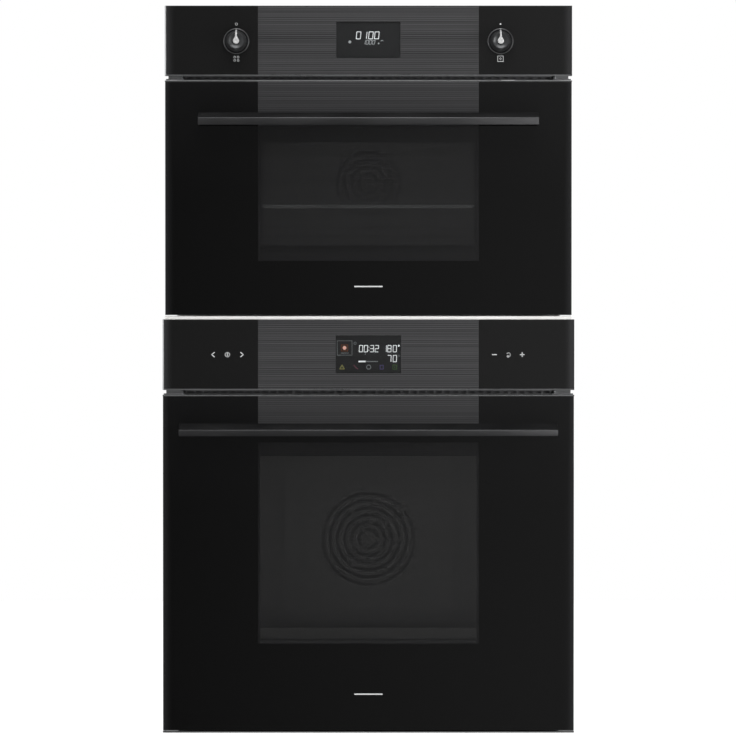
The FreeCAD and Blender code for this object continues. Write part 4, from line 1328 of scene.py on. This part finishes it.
@dataclass
class Studio:
    """Pale floor, soft lights and the camera."""

    distance: float = 9.0  # of the camera from the glass
    tilt: float = 1.2  # how far the camera looks down, in degrees
    frame_width: float = 1.0673  # width of the view at the glass
    aim: tuple[float, float] = (-0.0006, 0.5296)  # x and z of the view's middle
    floor_size: float = 3.0
    floor_drop: float = 0.0004  # keeps the floor just clear of the underside
    lamp_inset: float = 0.004  # how far inside its mouth a cavity's light stands
    sensor: float = 36.0  # its width in millimetres

    def build(self) -> None:
        """Makes the stage, the lights, the world and the camera."""
        self.make_floor()
        self.make_world()
        self.make_lights()
        self.make_camera()
        bpy.context.scene.view_settings.view_transform = "Standard"

    def make_floor(self) -> None:
        """A pale floor just under the object."""
        bm = bmesh.new()
        bmesh.ops.create_grid(bm, x_segments=1, y_segments=1, size=self.floor_size,
                              matrix=Matrix.Translation((0, 0, -self.floor_drop)))
        mesh = bpy.data.meshes.new("studio_floor")
        bm.to_mesh(mesh)
        bm.free()
        floor = bpy.data.objects.new("studio_floor", mesh)
        bpy.context.scene.collection.objects.link(floor)
        material = bpy.data.materials.new("studio_floor_paint")
        material.use_nodes = True
        shader = material.node_tree.nodes["Principled BSDF"]
        shader.inputs["Base Color"].default_value = linear("f2f2f2")
        shader.inputs["Roughness"].default_value = 0.9
        shader.inputs["Emission Color"].default_value = (1, 1, 1, 1)
        shader.inputs["Emission Strength"].default_value = 0.6
        mesh.materials.append(material)
        floor.visible_glossy = False

    def make_world(self) -> None:
        """White to the camera; to the object, a pale room that is darker straight in front."""
        world = bpy.data.worlds.new("studio_world")
        bpy.context.scene.world = world
        world.use_nodes = True
        tree = world.node_tree
        tree.nodes.clear()
        way = add(tree, "TexCoord").outputs["Generated"]
        axes = add(tree, "SeparateXYZ", {0: way})
        front = spread(tree, axes.outputs[0], 0.07, 0.29, -0.04, 0.04)
        height = spread(tree, axes.outputs[2], 0.4, 1.0, -0.4, 0.6)
        sides = product(tree, height, spread(tree, axes.outputs[0], 0.9, 0.3, -0.9, 0.9))
        away = spread(tree, axes.outputs[1], 0.0, 1.0, -0.97, -0.7)
        light = add(tree, "Mix", {0: away, 2: front, 3: sides}).outputs[0]
        room = add(tree, "Background", {"Strength": light}).outputs[0]
        white = add(tree, "Background", {"Strength": 1.0, "Color": (1, 1, 1, 1)}).outputs[0]
        seen = add(tree, "LightPath").outputs["Is Camera Ray"]
        mix = add(tree, "MixShader", {0: seen, 1: room, 2: white}).outputs[0]
        add(tree, "OutputWorld", {"Surface": mix})

    def make_lights(self) -> None:
        """Large soft boxes above, to the right and to the left, and a lamp in each cavity."""
        middle = Vector((0, -0.3, 0.55))
        self.soft_box("top_box", Vector((0.1, -1.5, 2.7)), Vector((0, -0.3, 0.5)), 1.8, 50.0)
        self.soft_box("right_box", Vector((1.45, -1.35, 0.78)), middle, 0.9, 15.0)
        self.soft_box("left_box", Vector((-2.2, -1.3, 0.85)), middle, 1.0, 8.0)
        margin = 0.04
        for name, power in (("upper_cavity", 0.5), ("lower_cavity", 0.95)):
            low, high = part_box(name)
            spot = Vector(((low.x + high.x) / 2, low.y + self.lamp_inset, (low.z + high.z) / 2))
            inward = spot + Vector((0, 1, 0))
            glow = self.soft_box(name + "_light", spot, inward, high.x - low.x - margin, power)
            glow.data.shape = "RECTANGLE"
            glow.data.size_y = high.z - low.z - margin

    def soft_box(self, name: str, place: Vector, target: Vector, size: float,
                 power: float) -> bpy.types.Object:
        """Adds a square area light.

        Args:
            name: its name.
            place: where it stands.
            target: the point that it faces.
            size: its side.
            power: in watts.

        Returns:
            The light's object.
        """
        data = bpy.data.lights.new(name, "AREA")
        data.size = size
        data.energy = power
        light = bpy.data.objects.new(name, data)
        light.location = place
        light.rotation_euler = (target - place).to_track_quat("-Z", "Y").to_euler()
        bpy.context.scene.collection.objects.link(light)
        return light

    def make_camera(self) -> None:
        """A long lens straight in front, a little above the middle."""
        data = bpy.data.cameras.new("front_camera")
        data.sensor_width = self.sensor
        data.lens = self.sensor * self.distance / self.frame_width
        data.clip_end = 100.0
        camera = bpy.data.objects.new("front_camera", data)
        tilt = math.radians(self.tilt)
        aim = Vector((self.aim[0], FRONT_Y, self.aim[1]))
        camera.location = aim + Vector((0.0, -math.cos(tilt), math.sin(tilt))) * self.distance
        camera.rotation_euler = (math.pi / 2 - tilt, 0.0, 0.0)
        bpy.context.scene.collection.objects.link(camera)
        bpy.context.scene.camera = camera


def main() -> None:
    """Builds the column, part by part, then its studio."""
    logging.basicConfig(level=logging.INFO, format="%(name)s: %(message)s")
    dress_frame()
    UpperPanel().build()
    LowerPanel().build()
    for door, slot_rings in ((Door(Level.UPPER, 647.8, UPPER_DOOR_GLASS, header=2.0 * MM), 4),
                             (Door(Level.LOWER, 56.0, LOWER_DOOR_GLASS, header=20.0 * MM), 6)):
        Gap(door.level).build()
        door.build()
        Mouth(door.level, slot_rings).build()
    Tray().build()
    Studio().build()


if __name__ == "__main__":
    main()
